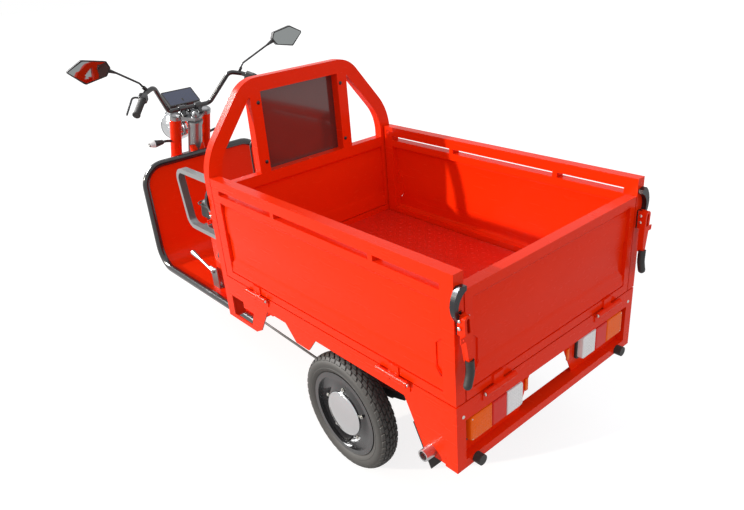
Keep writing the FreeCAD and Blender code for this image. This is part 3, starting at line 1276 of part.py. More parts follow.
def handlebar(crowns):
    """The handlebar, swept back to its grips, with risers, switch pods and brake levers."""
    left = [ahead_of_head(place) for place in (BAR_TIP, BAR_SHOULDER, BAR_PEAK, BAR_CLAMP)]
    points = left + [V(p.x, -p.y, p.z) for p in reversed(left)]
    pieces = [bent_bar(points, BAR_RADIUS, BAR_BEND)]
    crown_top = HEAD_TUBE_HIGH + CROWN_GAP + CROWN_THICK
    for side in (1.0, -1.0):
        foot = along_steering(crown_top, RISER_AHEAD, side * RISER_Y)
        head = V(left[-1].x, side * RISER_Y, left[-1].z)
        across = V(0, CLAMP_HALF, 0)
        pieces += [rod(foot, head, RISER_RADIUS), rod(head - across, head + across, CLAMP_RADIUS)]
    start, end = GRIP_LENGTH + 2 * BEAD_GAP, GRIP_LENGTH + POD_LENGTH
    pod = block(start, end, -POD_HALF, POD_HALF, -POD_HALF, POD_HALF)
    pod = pod.makeFillet(POD_CORNER, pod.Edges)
    middle = (start + end) / 2
    lever = bent_bar([V(middle, 0, 0), V(middle, LEVER_STANDOFF, 0),
                      V(GRIP_RADIUS, LEVER_STANDOFF, -GRIP_RADIUS)], LEVER_BAR_RADIUS, GRIP_RADIUS)
    control = beside_grip(join([pod, lever]))
    return join(pieces + [control, mirrored(control)]).cut(crowns)


def grips():
    """The rubber grips on the bar's ends."""
    sleeve = rod(V(-GRIP_CAP, 0, 0), V(GRIP_LENGTH, 0, 0), GRIP_RADIUS)
    return both_sides(beside_grip(sleeve.cut(rod(V(0, 0, 0), V(GRIP_LENGTH, 0, 0), BAR_RADIUS))))


def mirror_outline(inset, x):
    """A mirror's outline drawn in by inset, at a depth from the glass."""
    a, b = MIRROR_LENGTH / 2 - inset, MIRROR_HEIGHT / 2 - inset
    return [V(x, a * out, b * up) for out, up in MIRROR_OUTLINE]


def mirrors(bar):
    """The mirrors: six-sided shells round a recessed glass, on bent stalks from the bar."""
    shell = prism(mirror_outline(0, 0), V(MIRROR_THICK, 0, 0))
    shell = shell.makeFillet(MIRROR_CORNER, [edge for edge in shell.Edges
                                             if runs_along_x(edge)
                                             or edge.CenterOfMass.x > MIRROR_THICK - 1])
    shell = shell.cut(prism(mirror_outline(MIRROR_LIP, 0), V(MIRROR_RECESS, 0, 0)))
    shell.translate(V(HEAD_X - MIRROR_BACK, MIRROR_Y, MIRROR_Z))
    shoulder, peak = ahead_of_head(BAR_SHOULDER), ahead_of_head(BAR_PEAK)
    root = shoulder + (peak - shoulder) * STALK_ROOT_SHARE
    bend, neck = ahead_of_head(STALK_BEND), ahead_of_head(NECK)
    hold = V(HEAD_X - MIRROR_BACK + MIRROR_THICK / 2, MIRROR_Y - MIRROR_LENGTH / 3, MIRROR_Z)
    inward = (hold - neck).normalize()
    pieces = [shell, bent_bar([root, bend, neck], STALK_RADIUS, 2 * STALK_RADIUS),
              rod(root, root + (bend - root) * 0.6, STALK_RADIUS + MIRROR_LIP),
              Part.makeCone(STALK_RADIUS, NECK_RADIUS, NECK_LENGTH, neck, inward)]
    return both_sides(join(pieces).cut(bar))


def display(crowns):
    """The dashboard display on its bracket, its screen a little below its frame."""
    centre = V(HEAD_X + DISPLAY_AHEAD, 0, DISPLAY_Z)
    half_w, half_l, lip = DISPLAY_WIDTH / 2, DISPLAY_LENGTH / 2, DISPLAY_LIP
    case = block(-half_l, half_l, -half_w, half_w, -DISPLAY_THICK, 0)
    case = case.makeFillet(DISPLAY_CORNER, [edge for edge in case.Edges
                                            if abs(edge.Length - DISPLAY_THICK) < 0.5])
    case = case.cut(block(-half_l + lip, half_l - lip, -half_w + lip, half_w - lip,
                          -MIRROR_RECESS, 0))
    case.rotate(V(0, 0, 0), V(0, 1, 0), -DISPLAY_TILT_DEG)
    case.translate(centre)
    crown_top = HEAD_TUBE_HIGH + CROWN_GAP + CROWN_THICK
    post = rod(along_steering(crown_top, FORK_OFFSET + DISPLAY_CORNER, 0),
               centre - V(DISPLAY_LIP, 0, DISPLAY_CORNER * 2), DISPLAY_POST_RADIUS)
    return join([case, post]).cut(crowns)


def headlight():
    """The round headlight between the fork legs."""
    r = HEADLIGHT_RADIUS
    x1 = HEAD_X + HEADLIGHT_AHEAD
    back, waist = x1 - HEADLIGHT_DEPTH, x1 - HEADLIGHT_RING
    (cap_x, cap_r), (bulge_x, bulge_r) = [(back + depth * (waist - back), share * r)
                                          for depth, share in HEADLIGHT_BOWL]
    cap = cap_middle(cap_x, cap_r, back)
    lens = cap_middle(x1, r - LENS_BULGE, x1 + LENS_BULGE)
    outline = Part.Wire([
        Part.Arc(V(back, 0, 0), V(cap[0], 0, cap[1]), V(cap_x, 0, cap_r)).toShape(),
        Part.Arc(V(cap_x, 0, cap_r), V(bulge_x, 0, bulge_r), V(waist, 0, r)).toShape(),
        Part.makeLine(V(waist, 0, r), V(x1, 0, r)),
        Part.makeLine(V(x1, 0, r), V(x1, 0, r - LENS_BULGE)),
        Part.Arc(V(x1, 0, r - LENS_BULGE), V(lens[0], 0, lens[1]),
                 V(x1 + LENS_BULGE, 0, 0)).toShape(),
        Part.makeLine(V(x1 + LENS_BULGE, 0, 0), V(back, 0, 0)),
    ])
    lamp = Part.Face(outline).revolve(V(0, 0, 0), V(1, 0, 0), 360)
    lamp.translate(V(0, 0, HEADLIGHT_Z))
    arms = []
    for side in (1.0, -1.0):
        leg = along_steering(-HEADLIGHT_RING, FORK_OFFSET, side * FORK_HALF_SPAN)
        arms.append(rod(leg + V(SHROUD_RADIUS - FLOOR_SHEET, 0, 0),
                        V(waist - HEADLIGHT_RING, side * (r * 0.9), HEADLIGHT_Z),
                        HEADLIGHT_ARM_RADIUS))
    body = join([lamp] + arms)
    for side in (1.0, -1.0):
        body = body.cut(shroud_outline(side))
    return body


def shroud_outline(side):
    """The space of a fork cover above the lower crown."""
    return rod(along_steering(HEAD_TUBE_LOW, FORK_OFFSET, side * FORK_HALF_SPAN),
               along_steering(HEAD_TUBE_HIGH, FORK_OFFSET, side * FORK_HALF_SPAN), SHROUD_RADIUS)


def front_signals():
    """The turn signals beside the headlight."""
    x, z, inner = HEAD_X + SIGNAL_AHEAD, SIGNAL_Z, SIGNAL_INNER_Y
    root = along_steering(SIGNAL_AXIS, FORK_OFFSET, FORK_HALF_SPAN)
    knee = V(x, inner - SIGNAL_RADIUS, z)
    body_length = 0.6 * SIGNAL_LENGTH
    body = Part.makeCone(0.6 * SIGNAL_RADIUS, SIGNAL_RADIUS, body_length, V(x, inner, z),
                         V(0, 1, 0))
    tip = Part.makeCone(SIGNAL_RADIUS, 0.5 * SIGNAL_RADIUS, SIGNAL_LENGTH - body_length,
                        V(x, inner + body_length, z), V(0, 1, 0))
    stalk = rod(root, knee, SIGNAL_STALK_RADIUS)
    stalk = stalk.fuse(rod(knee, V(x, inner + SIGNAL_STALK_RADIUS, z), SIGNAL_STALK_RADIUS))
    return both_sides(join([body, tip, stalk]).cut(shroud_outline(1.0)))


def park_lever():
    """The parking brake lever on its bracket at the left of the seat box."""
    pivot = V(SEAT_BOX_FRONT_X - PARK_BACK, SEAT_BOX_HALF + PARK_STANDOFF,
              FLOOR_TOP_Z + PARK_PIVOT_HEIGHT)
    tip = pivot + V(PARK_RUN, 0, PARK_RISE)
    run = (tip - pivot).normalize()
    x0, x1 = pivot.x - PARK_BRACKET_HALF, pivot.x + PARK_BRACKET_HALF
    outer = pivot.y - PARK_SHEET
    grip = Part.makeCone(*PARK_GRIP_RADII, PARK_GRIP_LENGTH, tip - run * PARK_GRIP_LENGTH, run)
    return join([
        block(x0, x1, outer - PARK_SHEET, outer, FLOOR_TOP_Z, FLOOR_TOP_Z + PARK_BRACKET_HEIGHT),
        block(x0, x1, SEAT_BOX_HALF, outer, FLOOR_TOP_Z, FLOOR_TOP_Z + PARK_SHEET),
        rod(V(pivot.x, outer, pivot.z), pivot + V(0, PARK_PIN_RADIUS, 0), PARK_PIN_RADIUS),
        rod(pivot, tip - run * (PARK_GRIP_LENGTH - PARK_SHEET), PARK_BAR_RADIUS),
        grip,
    ])


def foot_brake():
    """The brake pedal on the footwell's right and the rods to both rear drums."""
    x, y, floor = HEAD_X - PEDAL_BACK, PEDAL_Y, FLOOR_TOP_Z
    half_x, half_y = PEDAL_FOOT_HALF
    pad_x, pad_y = PEDAL_PAD_HALF
    head = V(x + PEDAL_ARM_RUN, y, floor + PEDAL_ARM_RUN)
    pieces = [join([
        block(x - half_x, x + half_x, y - half_y, y + half_y, floor, floor + PEDAL_FOOT_SHEET),
        rod(V(x, y, floor + PEDAL_ARM_RADIUS * 1.3), head, PEDAL_ARM_RADIUS),
        tilted_box(-pad_x, pad_x, -pad_y, pad_y, 0, PEDAL_PAD_THICK, head, PEDAL_PAD_TILT_DEG),
    ])]
    for side in (1.0, -1.0):
        y = side * (DRUM_INNER_Y + DRUM_WIDTH / 3)
        pieces.append(rod(V(REAR_AXLE_X + DRUM_RADIUS * BRAKE_ROD_SHARE, y,
                            AXLE_Z + BRAKE_ROD_RISE),
                          V(BORDER_REAR_X + BRAKE_ROD_DROP, y * BRAKE_ROD_DRAW,
                            FLOOR_TOP_Z - BRAKE_ROD_DROP), BRAKE_ROD_RADIUS))
    return Part.makeCompound(pieces)


def tyre(centre):
    """A tyre of rounded section, open at its beads."""
    half, height = TYRE_WIDTH / 2, TYRE_RADIUS - RIM_RADIUS
    bead_out = RIM_WIDTH / 2 - RIM_SHEET - BEAD_GAP
    bead_in = bead_out - BEAD_THICK
    seat = RIM_SEAT + BEAD_GAP
    outer = [(bead_out, seat), (bead_out, RIM_RADIUS + BEAD_GAP)]
    outer += [(share_y * half, RIM_RADIUS + share_r * height) for share_y, share_r in TYRE_OUTLINE]
    inner = [(bead_in, seat), (bead_in + RIM_SHEET, RIM_RADIUS),
             (half - TYRE_WALL, RIM_RADIUS + TYRE_OUTLINE[0][1] * height),
             (TYRE_OUTLINE[2][0] * half - RIM_SHEET, TYRE_RADIUS - TYRE_CROWN)]
    ring = [(-y, r) for y, r in outer] + outer[-2::-1] + inner
    return turned(ring + [(-y, r) for y, r in reversed(inner)], centre)


def rim(centre, outward):
    """A pressed steel rim with its disc and hub; outward is +1 towards +Y."""
    half, seat, sheet = RIM_WIDTH / 2, RIM_SEAT, RIM_SHEET
    lip, well = RIM_WELL_HALF, RIM_SEAT - RIM_WELL_DEPTH
    floor = lip - RIM_WELL_SLOPE
    bore = SPINDLE_RADIUS + PIN_GAP
    under = well - sheet
    tyre_side = [(half, RIM_RADIUS), (half - sheet, RIM_RADIUS), (half - sheet, seat),
                 (lip, seat), (floor, well)]
    flange = [(half, seat - sheet), (lip + sheet, seat - sheet), (lip, under)]
    disc_face = [(lip + BEAD_GAP, DISC_DISH_RADIUS), (DISC_FACE, DISC_FLAT_RADIUS),
                 (DISC_FACE, HUB_RADIUS), (HUB_OUTER, HUB_RADIUS), (HUB_OUTER, bore)]
    disc_back = [(-HUB_INNER, bore), (-HUB_INNER, HUB_RADIUS), (DISC_FACE - sheet, HUB_RADIUS),
                 (DISC_FACE - sheet, DISC_FLAT_RADIUS - sheet / 2),
                 (lip + BEAD_GAP - sheet, DISC_DISH_RADIUS - sheet / 2), (floor, under)]
    profile = [(-y, r) for y, r in tyre_side] + tyre_side[::-1] + flange + disc_face + disc_back
    profile += [(-y, r) for y, r in reversed(flange)]
    return turned([(outward * y, radius) for y, radius in profile], centre)


def hubcap(centre, outward):
    """The domed cover over a rear wheel's hub, with a rounded edge."""
    r, edge, sheet = HUBCAP_RADIUS, HUBCAP_EDGE, RIM_SHEET
    base = DISC_FACE + HUBCAP_GAP
    top = DISC_FACE + HUBCAP_DOME
    low = base + RIM_SHEET
    rise = low + edge
    profile = [
        (base, r - sheet), (base, r), (low, r),
        (low + 0.7 * edge, r - 0.3 * edge, rise, r - edge),
        cap_middle(rise, r - edge, top) + (top, 0.0),
        (top - sheet, 0.0),
        cap_middle(rise - sheet, r - edge - sheet, top - sheet) + (rise - sheet, r - edge - sheet),
    ]
    return turned([tuple(value if index % 2 else outward * value
                         for index, value in enumerate(entry)) for entry in profile], centre)


def main():
    """Build every piece and write it."""
    os.makedirs("parts", exist_ok=True)
    frame = main_beams()
    legs = fork_legs()
    crowns = fork_crowns(legs)
    bar = handlebar(crowns)
    loop = hoop()
    single = {
        "tailgate_frame": tailgate_frame(), "tailgate_panel": tailgate_panel(),
        "bed_rim": bed_rim(), "bed_floor": bed_floor(), "main_beams": frame,
        "steering_head": steering_head(), "rear_frame": rear_frame(), "mud_flaps": mud_flaps(),
        "tail_lamps": tail_lamps(), "buffers": buffers(), "pipe_stubs": pipe_stubs(),
        "hoop": loop, "headboard": headboard().cut(loop), "pane": pane(),
        "seat_box": seat_box(frame), "battery": battery(), "seat_cushion": seat_cushion(),
        "seat_back": seat_back(), "armrests": armrests(), "footwell": footwell(frame),
        "border_tube": border_tube(), "side_brackets": side_brackets(),
        "leaf_springs": leaf_springs(), "spring_hangers": spring_hangers(),
        "rear_axle": rear_axle(), "foot_brake": foot_brake(), "park_lever": park_lever(),
        "fork_legs": legs, "fork_crowns": crowns, "fork_shrouds": fork_shrouds(),
        "front_fender": front_fender(), "handlebar": bar, "grips": grips(),
        "mirrors": mirrors(bar), "display": display(crowns), "headlight": headlight(),
        "front_signals": front_signals(), "latches_front": both_sides(on_hoop_leg(latch())),
    }
    for name, shape in single.items():
        save(name, shape)
    paired = {"gate_{}_frame": gate_left_frame(), "gate_{}_panel": gate_left_panel(),
              "latch_{}": on_rear_post(latch())}
    for name, shape in paired.items():
        save(name.format("left"), shape)
        save(name.format("right"), mirrored(shape))
    wheels = (("rear_left", V(REAR_AXLE_X, REAR_TRACK_HALF, AXLE_Z), 1),
              ("rear_right", V(REAR_AXLE_X, -REAR_TRACK_HALF, AXLE_Z), -1),
              ("front", V(FRONT_AXLE_X, 0, AXLE_Z), 1))
    for name, centre, outward in wheels:
        save("tyre_" + name, tyre(centre))
        save("rim_" + name, rim(centre, outward))
        if name != "front":
            save("hubcap_" + name, hubcap(centre, outward))


if __name__ == "__main__":
    main()
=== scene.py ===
"""Finishes and fine detail of an electric cargo tricycle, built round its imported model."""

import json
import logging
import math
from dataclasses import dataclass
from enum import Enum
from typing import ClassVar, Iterable, Sequence

import bmesh
import bpy
from mathutils import Matrix, Vector

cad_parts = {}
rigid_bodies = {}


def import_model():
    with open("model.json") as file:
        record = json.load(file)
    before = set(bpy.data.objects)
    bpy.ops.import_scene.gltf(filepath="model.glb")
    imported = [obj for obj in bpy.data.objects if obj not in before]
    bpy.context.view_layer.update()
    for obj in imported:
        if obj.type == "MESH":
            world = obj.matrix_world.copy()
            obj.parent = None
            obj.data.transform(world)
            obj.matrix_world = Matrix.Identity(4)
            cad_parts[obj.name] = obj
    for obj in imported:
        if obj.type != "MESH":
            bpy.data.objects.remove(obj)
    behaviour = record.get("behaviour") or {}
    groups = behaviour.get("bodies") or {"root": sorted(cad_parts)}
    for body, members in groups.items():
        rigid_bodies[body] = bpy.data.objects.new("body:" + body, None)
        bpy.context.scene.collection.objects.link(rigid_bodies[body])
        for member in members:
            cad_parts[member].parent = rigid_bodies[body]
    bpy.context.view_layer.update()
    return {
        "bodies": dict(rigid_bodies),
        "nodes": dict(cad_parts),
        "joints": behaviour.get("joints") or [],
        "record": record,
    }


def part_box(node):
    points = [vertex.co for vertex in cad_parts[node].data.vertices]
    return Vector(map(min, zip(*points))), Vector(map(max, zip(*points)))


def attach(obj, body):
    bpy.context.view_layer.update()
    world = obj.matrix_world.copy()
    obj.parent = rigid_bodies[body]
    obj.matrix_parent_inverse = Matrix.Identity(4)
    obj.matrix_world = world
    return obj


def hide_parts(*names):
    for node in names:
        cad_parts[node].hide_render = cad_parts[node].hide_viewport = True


LOG = logging.getLogger("tricycle")
MM = 0.001
LATCH_SIDE = 461 * MM
LATCH_PIVOT = 850 * MM
FRONT_LATCH_SIDE = 454.5 * MM
FRONT_LATCH_PIVOT = 826 * MM

Colour = tuple[float, float, float]


class Side(Enum):
    """Which side of the vehicle a paired piece is on."""

    LEFT = 1
    RIGHT = -1

    @property
    def word(self) -> str:
        """The side's name in lower case."""
        return self.name.lower()


class Slot(Enum):
    """The record's material slots."""

    RED = "red_paint"
    BLACK = "black_paint"
    STEEL = "steel"
    CHROME = "chrome"
    TYRE = "tyre_rubber"
    RUBBER = "black_rubber"
    PLASTIC = "black_plastic"
    SEAT = "seat_leather"
    LENS = "lamp_lens"
    PANE = "tinted_pane"


class Pattern(Enum):
    """The height patterns that finishes share, by the name of their node group."""

    PEEL = "peel"
    GRAIN = "grain"


class Wiring:
    """A small hand for wiring one shader node tree."""

    def __init__(self, tree: bpy.types.NodeTree) -> None:
        """Keep the tree that nodes are added to.

        Args:
            tree: The node tree of a material or a group.
        """
        self.tree = tree

    def add(self, kind: str, **settings: object) -> bpy.types.Node:
        """Add a node and set its properties.

        Args:
            kind: The node's type name.
            settings: Properties to set on it.

        Returns:
            The new node.
        """
        node = self.tree.nodes.new(kind)
        for name, value in settings.items():
            setattr(node, name, value)
        return node

    def join(self, source: bpy.types.NodeSocket, target: bpy.types.NodeSocket) -> None:
        """Link an output to an input."""
        self.tree.links.new(source, target)

    def maths(self, operation: str, first: object, second: object = 0.5) -> bpy.types.NodeSocket:
        """Add a math node.

        Args:
            operation: The node's operation.
            first: A number or an output.
            second: A number or an output.

        Returns:
            The node's output.
        """
        node = self.add("ShaderNodeMath", operation=operation)
        for socket, value in zip(node.inputs, (first, second)):
            if isinstance(value, bpy.types.NodeSocket):
                self.join(value, socket)
            else:
                socket.default_value = value
        return node.outputs[0]

    def blend(self, share: object, low: object, high: object) -> bpy.types.NodeSocket:
        """Mix two colours.

        Args:
            share: A number or an output, 0 for low and 1 for high.
            low: A colour or an output.
            high: A colour or an output.

        Returns:
            The mixed colour.
        """
        node = self.add("ShaderNodeMix", data_type="RGBA")
        for index, value in ((0, share), (6, low), (7, high)):
            if isinstance(value, bpy.types.NodeSocket):
                self.join(value, node.inputs[index])
            elif isinstance(value, tuple):
                node.inputs[index].default_value = (*value, 1.0)
            else:
                node.inputs[index].default_value = value
        return node.outputs[2]


class Effects:
    """The shader node groups that several finishes share, each built once."""

    def __init__(self) -> None:
        """Build every group."""
        self.drift = self._drift()
        self.peel = self._peel()
        self.grain = self._grain()
        self.dust = self._dust()
        self.scuff = self._scuff()

    def _group(self, name: str, inputs: Sequence[tuple[str, str, object]],
               outputs: Sequence[tuple[str, str]]) -> tuple[Wiring, bpy.types.Node, bpy.types.Node]:
        """Start a group with named sockets.

        Args:
            name: The group's name.
            inputs: For each input its name, socket type and default.
            outputs: For each output its name and socket type.

        Returns:
            Its wiring, its input node and its output node.
        """
        tree = bpy.data.node_groups.new(name, "ShaderNodeTree")
        for label, kind, default in inputs:
            socket = tree.interface.new_socket(name=label, in_out="INPUT", socket_type=kind)
            socket.default_value = default
        for label, kind in outputs:
            tree.interface.new_socket(name=label, in_out="OUTPUT", socket_type=kind)
        wiring = Wiring(tree)
        return wiring, wiring.add("NodeGroupInput"), wiring.add("NodeGroupOutput")

    def _noise(self, wiring: Wiring, scale: bpy.types.NodeSocket, detail: float,
               stretch: Colour = (1.0, 1.0, 1.0)) -> bpy.types.NodeSocket:
        """Noise on object coordinates.

        Args:
            wiring: The tree's wiring.
            scale: The output that gives the noise's scale.
            detail: The noise's detail.
            stretch: How much the pattern is squeezed along X, Y and Z.

        Returns:
            The noise's value.
        """
        place = wiring.add("ShaderNodeTexCoord")
        mapping = wiring.add("ShaderNodeMapping")
        mapping.inputs["Scale"].default_value = stretch
        noise = wiring.add("ShaderNodeTexNoise")
        noise.inputs["Detail"].default_value = detail
        wiring.join(place.outputs["Object"], mapping.inputs["Vector"])
        wiring.join(mapping.outputs["Vector"], noise.inputs["Vector"])
        wiring.join(scale, noise.inputs["Scale"])
        return noise.outputs["Fac"]

    def _drift(self) -> bpy.types.NodeTree:
        """Slow changes of tone over a surface.

        Returns:
            The group.
        """
        wiring, given, made = self._group(
            "Tone drift",
            [("Colour", "NodeSocketColor", (0.5, 0.5, 0.5, 1.0)),
             ("Amount", "NodeSocketFloat", 0.1), ("Scale", "NodeSocketFloat", 4.0)],
            [("Colour", "NodeSocketColor")])
        noise = self._noise(wiring, given.outputs["Scale"], 3.0)
        swing = wiring.maths("MULTIPLY", wiring.maths("SUBTRACT", noise, 0.5), given.outputs["Amount"])
        shade = wiring.add("ShaderNodeHueSaturation")
        wiring.join(given.outputs["Colour"], shade.inputs["Color"])
        wiring.join(wiring.maths("ADD", swing, 1.0), shade.inputs["Value"])
        wiring.join(shade.outputs["Color"], made.inputs["Colour"])
        return wiring.tree

    def _peel(self) -> bpy.types.NodeTree:
        """The faint ripple of sprayed paint.

        Returns:
            The group.
        """
        wiring, given, made = self._group(
            "Spray ripple", [("Scale", "NodeSocketFloat", 160.0)], [("Height", "NodeSocketFloat")])
        wiring.join(self._noise(wiring, given.outputs["Scale"], 1.0), made.inputs["Height"])
        return wiring.tree

    def _grain(self) -> bpy.types.NodeTree:
        """Pebbled cells, as on moulded plastic and seat covers.

        Returns:
            The group.
        """
        wiring, given, made = self._group(
            "Pebble grain", [("Scale", "NodeSocketFloat", 400.0)], [("Height", "NodeSocketFloat")])
        place = wiring.add("ShaderNodeTexCoord")
        cells = wiring.add("ShaderNodeTexVoronoi", feature="SMOOTH_F1")
        wiring.join(place.outputs["Object"], cells.inputs["Vector"])
        wiring.join(given.outputs["Scale"], cells.inputs["Scale"])
        fine = self._noise(wiring, given.outputs["Scale"], 4.0)
        wiring.join(wiring.maths("ADD", cells.outputs["Distance"], wiring.maths("MULTIPLY", fine, 0.4)),
                    made.inputs["Height"])
        return wiring.tree

    def _dust(self) -> bpy.types.NodeTree:
        """Dust that settles on faces that look up.

        Returns:
            The group.
        """
        wiring, given, made = self._group(
            "Settled dust",
            [("Colour", "NodeSocketColor", (0.5, 0.5, 0.5, 1.0)),
             ("Dust", "NodeSocketColor", (0.35, 0.31, 0.27, 1.0)),
             ("Amount", "NodeSocketFloat", 0.1), ("Scale", "NodeSocketFloat", 9.0)],
            [("Colour", "NodeSocketColor"), ("Mask", "NodeSocketFloat")])
        surface = wiring.add("ShaderNodeNewGeometry")
        split = wiring.add("ShaderNodeSeparateXYZ")
        wiring.join(surface.outputs["Normal"], split.inputs["Vector"])
        upward = wiring.maths("MAXIMUM", split.outputs["Z"], 0.12)
        patch = self._noise(wiring, given.outputs["Scale"], 6.0)
        mask = wiring.maths("MULTIPLY", wiring.maths("MULTIPLY", upward, patch), given.outputs["Amount"])
        wiring.join(wiring.blend(mask, given.outputs["Colour"], given.outputs["Dust"]),
                    made.inputs["Colour"])
        wiring.join(mask, made.inputs["Mask"])
        return wiring.tree

    def _scuff(self) -> bpy.types.NodeTree:
        """Thin rubbed streaks.

        Returns:
            The group.
        """
        wiring, given, made = self._group(
            "Rub marks", [("Scale", "NodeSocketFloat", 30.0), ("Amount", "NodeSocketFloat", 0.3)],
            [("Mask", "NodeSocketFloat")])
        streak = self._noise(wiring, given.outputs["Scale"], 5.0, (0.25, 1.0, 2.5))
        sharp = wiring.add("ShaderNodeMapRange")
        sharp.inputs["From Min"].default_value = 0.58
        sharp.inputs["From Max"].default_value = 0.72
        wiring.join(streak, sharp.inputs["Value"])
        wiring.join(wiring.maths("MULTIPLY", sharp.outputs["Result"], given.outputs["Amount"]),
                    made.inputs["Mask"])
        return wiring.tree


@dataclass(frozen=True)
class Finish:
    """One surface finish, made as a node material.

    Attributes:
        name: The material's name.
        slot: The record's slot that it belongs to; not used.
        colour: Linear base colour.
        rough: Roughness.
        metal: Metallic share.
        coat: Weight of a clear coat.
        drift: How far the tone wanders.
        dust: How much dust settles.
        dust_colour: The dust's colour.
        pattern: The shared height pattern.
        scale: That pattern's scale.
        relief: Strength of the bump it gives.
        scuff: Strength of rubbed streaks in the roughness.
        specular: Level of the shader's own reflection.
    """

    name: str
    slot: Slot
    colour: Colour
    rough: float
    metal: float = 0.0
    coat: float = 0.0
    drift: float = 0.08
    dust: float = 0.0
    dust_colour: Colour = (0.33, 0.28, 0.24)
    pattern: Pattern = Pattern.PEEL
    scale: float = 160.0
    relief: float = 0.03
    scuff: float = 0.1
    specular: float = 0.5

    DUST_ROUGH: ClassVar[float] = 0.5
    COAT_ROUGH: ClassVar[float] = 0.05

    def material(self, effects: Effects) -> bpy.types.Material:
        """Build the material.

        Args:
            effects: The shared node groups.

        Returns:
            The material.
        """
        made = bpy.data.materials.new(self.name)
        made.use_nodes = True
        wiring = Wiring(made.node_tree)
        shader = made.node_tree.nodes["Principled BSDF"]
        tone = wiring.add("ShaderNodeGroup", node_tree=effects.drift)
        tone.inputs["Colour"].default_value = (*self.colour, 1.0)
        tone.inputs["Amount"].default_value = self.drift
        dust = wiring.add("ShaderNodeGroup", node_tree=effects.dust)
        dust.inputs["Dust"].default_value = (*self.dust_colour, 1.0)
        dust.inputs["Amount"].default_value = self.dust
        wiring.join(tone.outputs["Colour"], dust.inputs["Colour"])
        wiring.join(dust.outputs["Colour"], shader.inputs["Base Color"])
        rub = wiring.add("ShaderNodeGroup", node_tree=effects.scuff)
        rub.inputs["Amount"].default_value = self.scuff
        settled = wiring.maths("MULTIPLY", dust.outputs["Mask"], self.DUST_ROUGH)
        rough = wiring.maths("ADD", settled, rub.outputs["Mask"])
        wiring.join(wiring.maths("ADD", rough, self.rough), shader.inputs["Roughness"])
        shader.inputs["Metallic"].default_value = self.metal
        shader.inputs["Specular IOR Level"].default_value = self.specular
        shader.inputs["Coat Weight"].default_value = self.coat
        shader.inputs["Coat Roughness"].default_value = self.COAT_ROUGH
        shape = wiring.add("ShaderNodeGroup", node_tree=getattr(effects, self.pattern.value))
        shape.inputs["Scale"].default_value = self.scale
        bump = wiring.add("ShaderNodeBump")
        bump.inputs["Strength"].default_value = self.relief
        bump.inputs["Distance"].default_value = MM
        wiring.join(shape.outputs["Height"], bump.inputs["Height"])
        wiring.join(bump.outputs["Normal"], shader.inputs["Normal"])
        self.refine(shader)
        return made

    def refine(self, shader: bpy.types.Node) -> None:
        """Set what only some finishes have; a plain finish has nothing more.

        Args:
            shader: The material's shader.
        """


@dataclass(frozen=True)
class ClearFinish(Finish):
    """A finish that light passes through.

    Attributes:
        pass_through: Share of light that passes.
        index: Index of refraction.
    """

    pass_through: float = 0.8
    index: float = 1.45

    def refine(self, shader: bpy.types.Node) -> None:
        """Let light through."""
        shader.inputs["Transmission Weight"].default_value = self.pass_through
        shader.inputs["IOR"].default_value = self.index


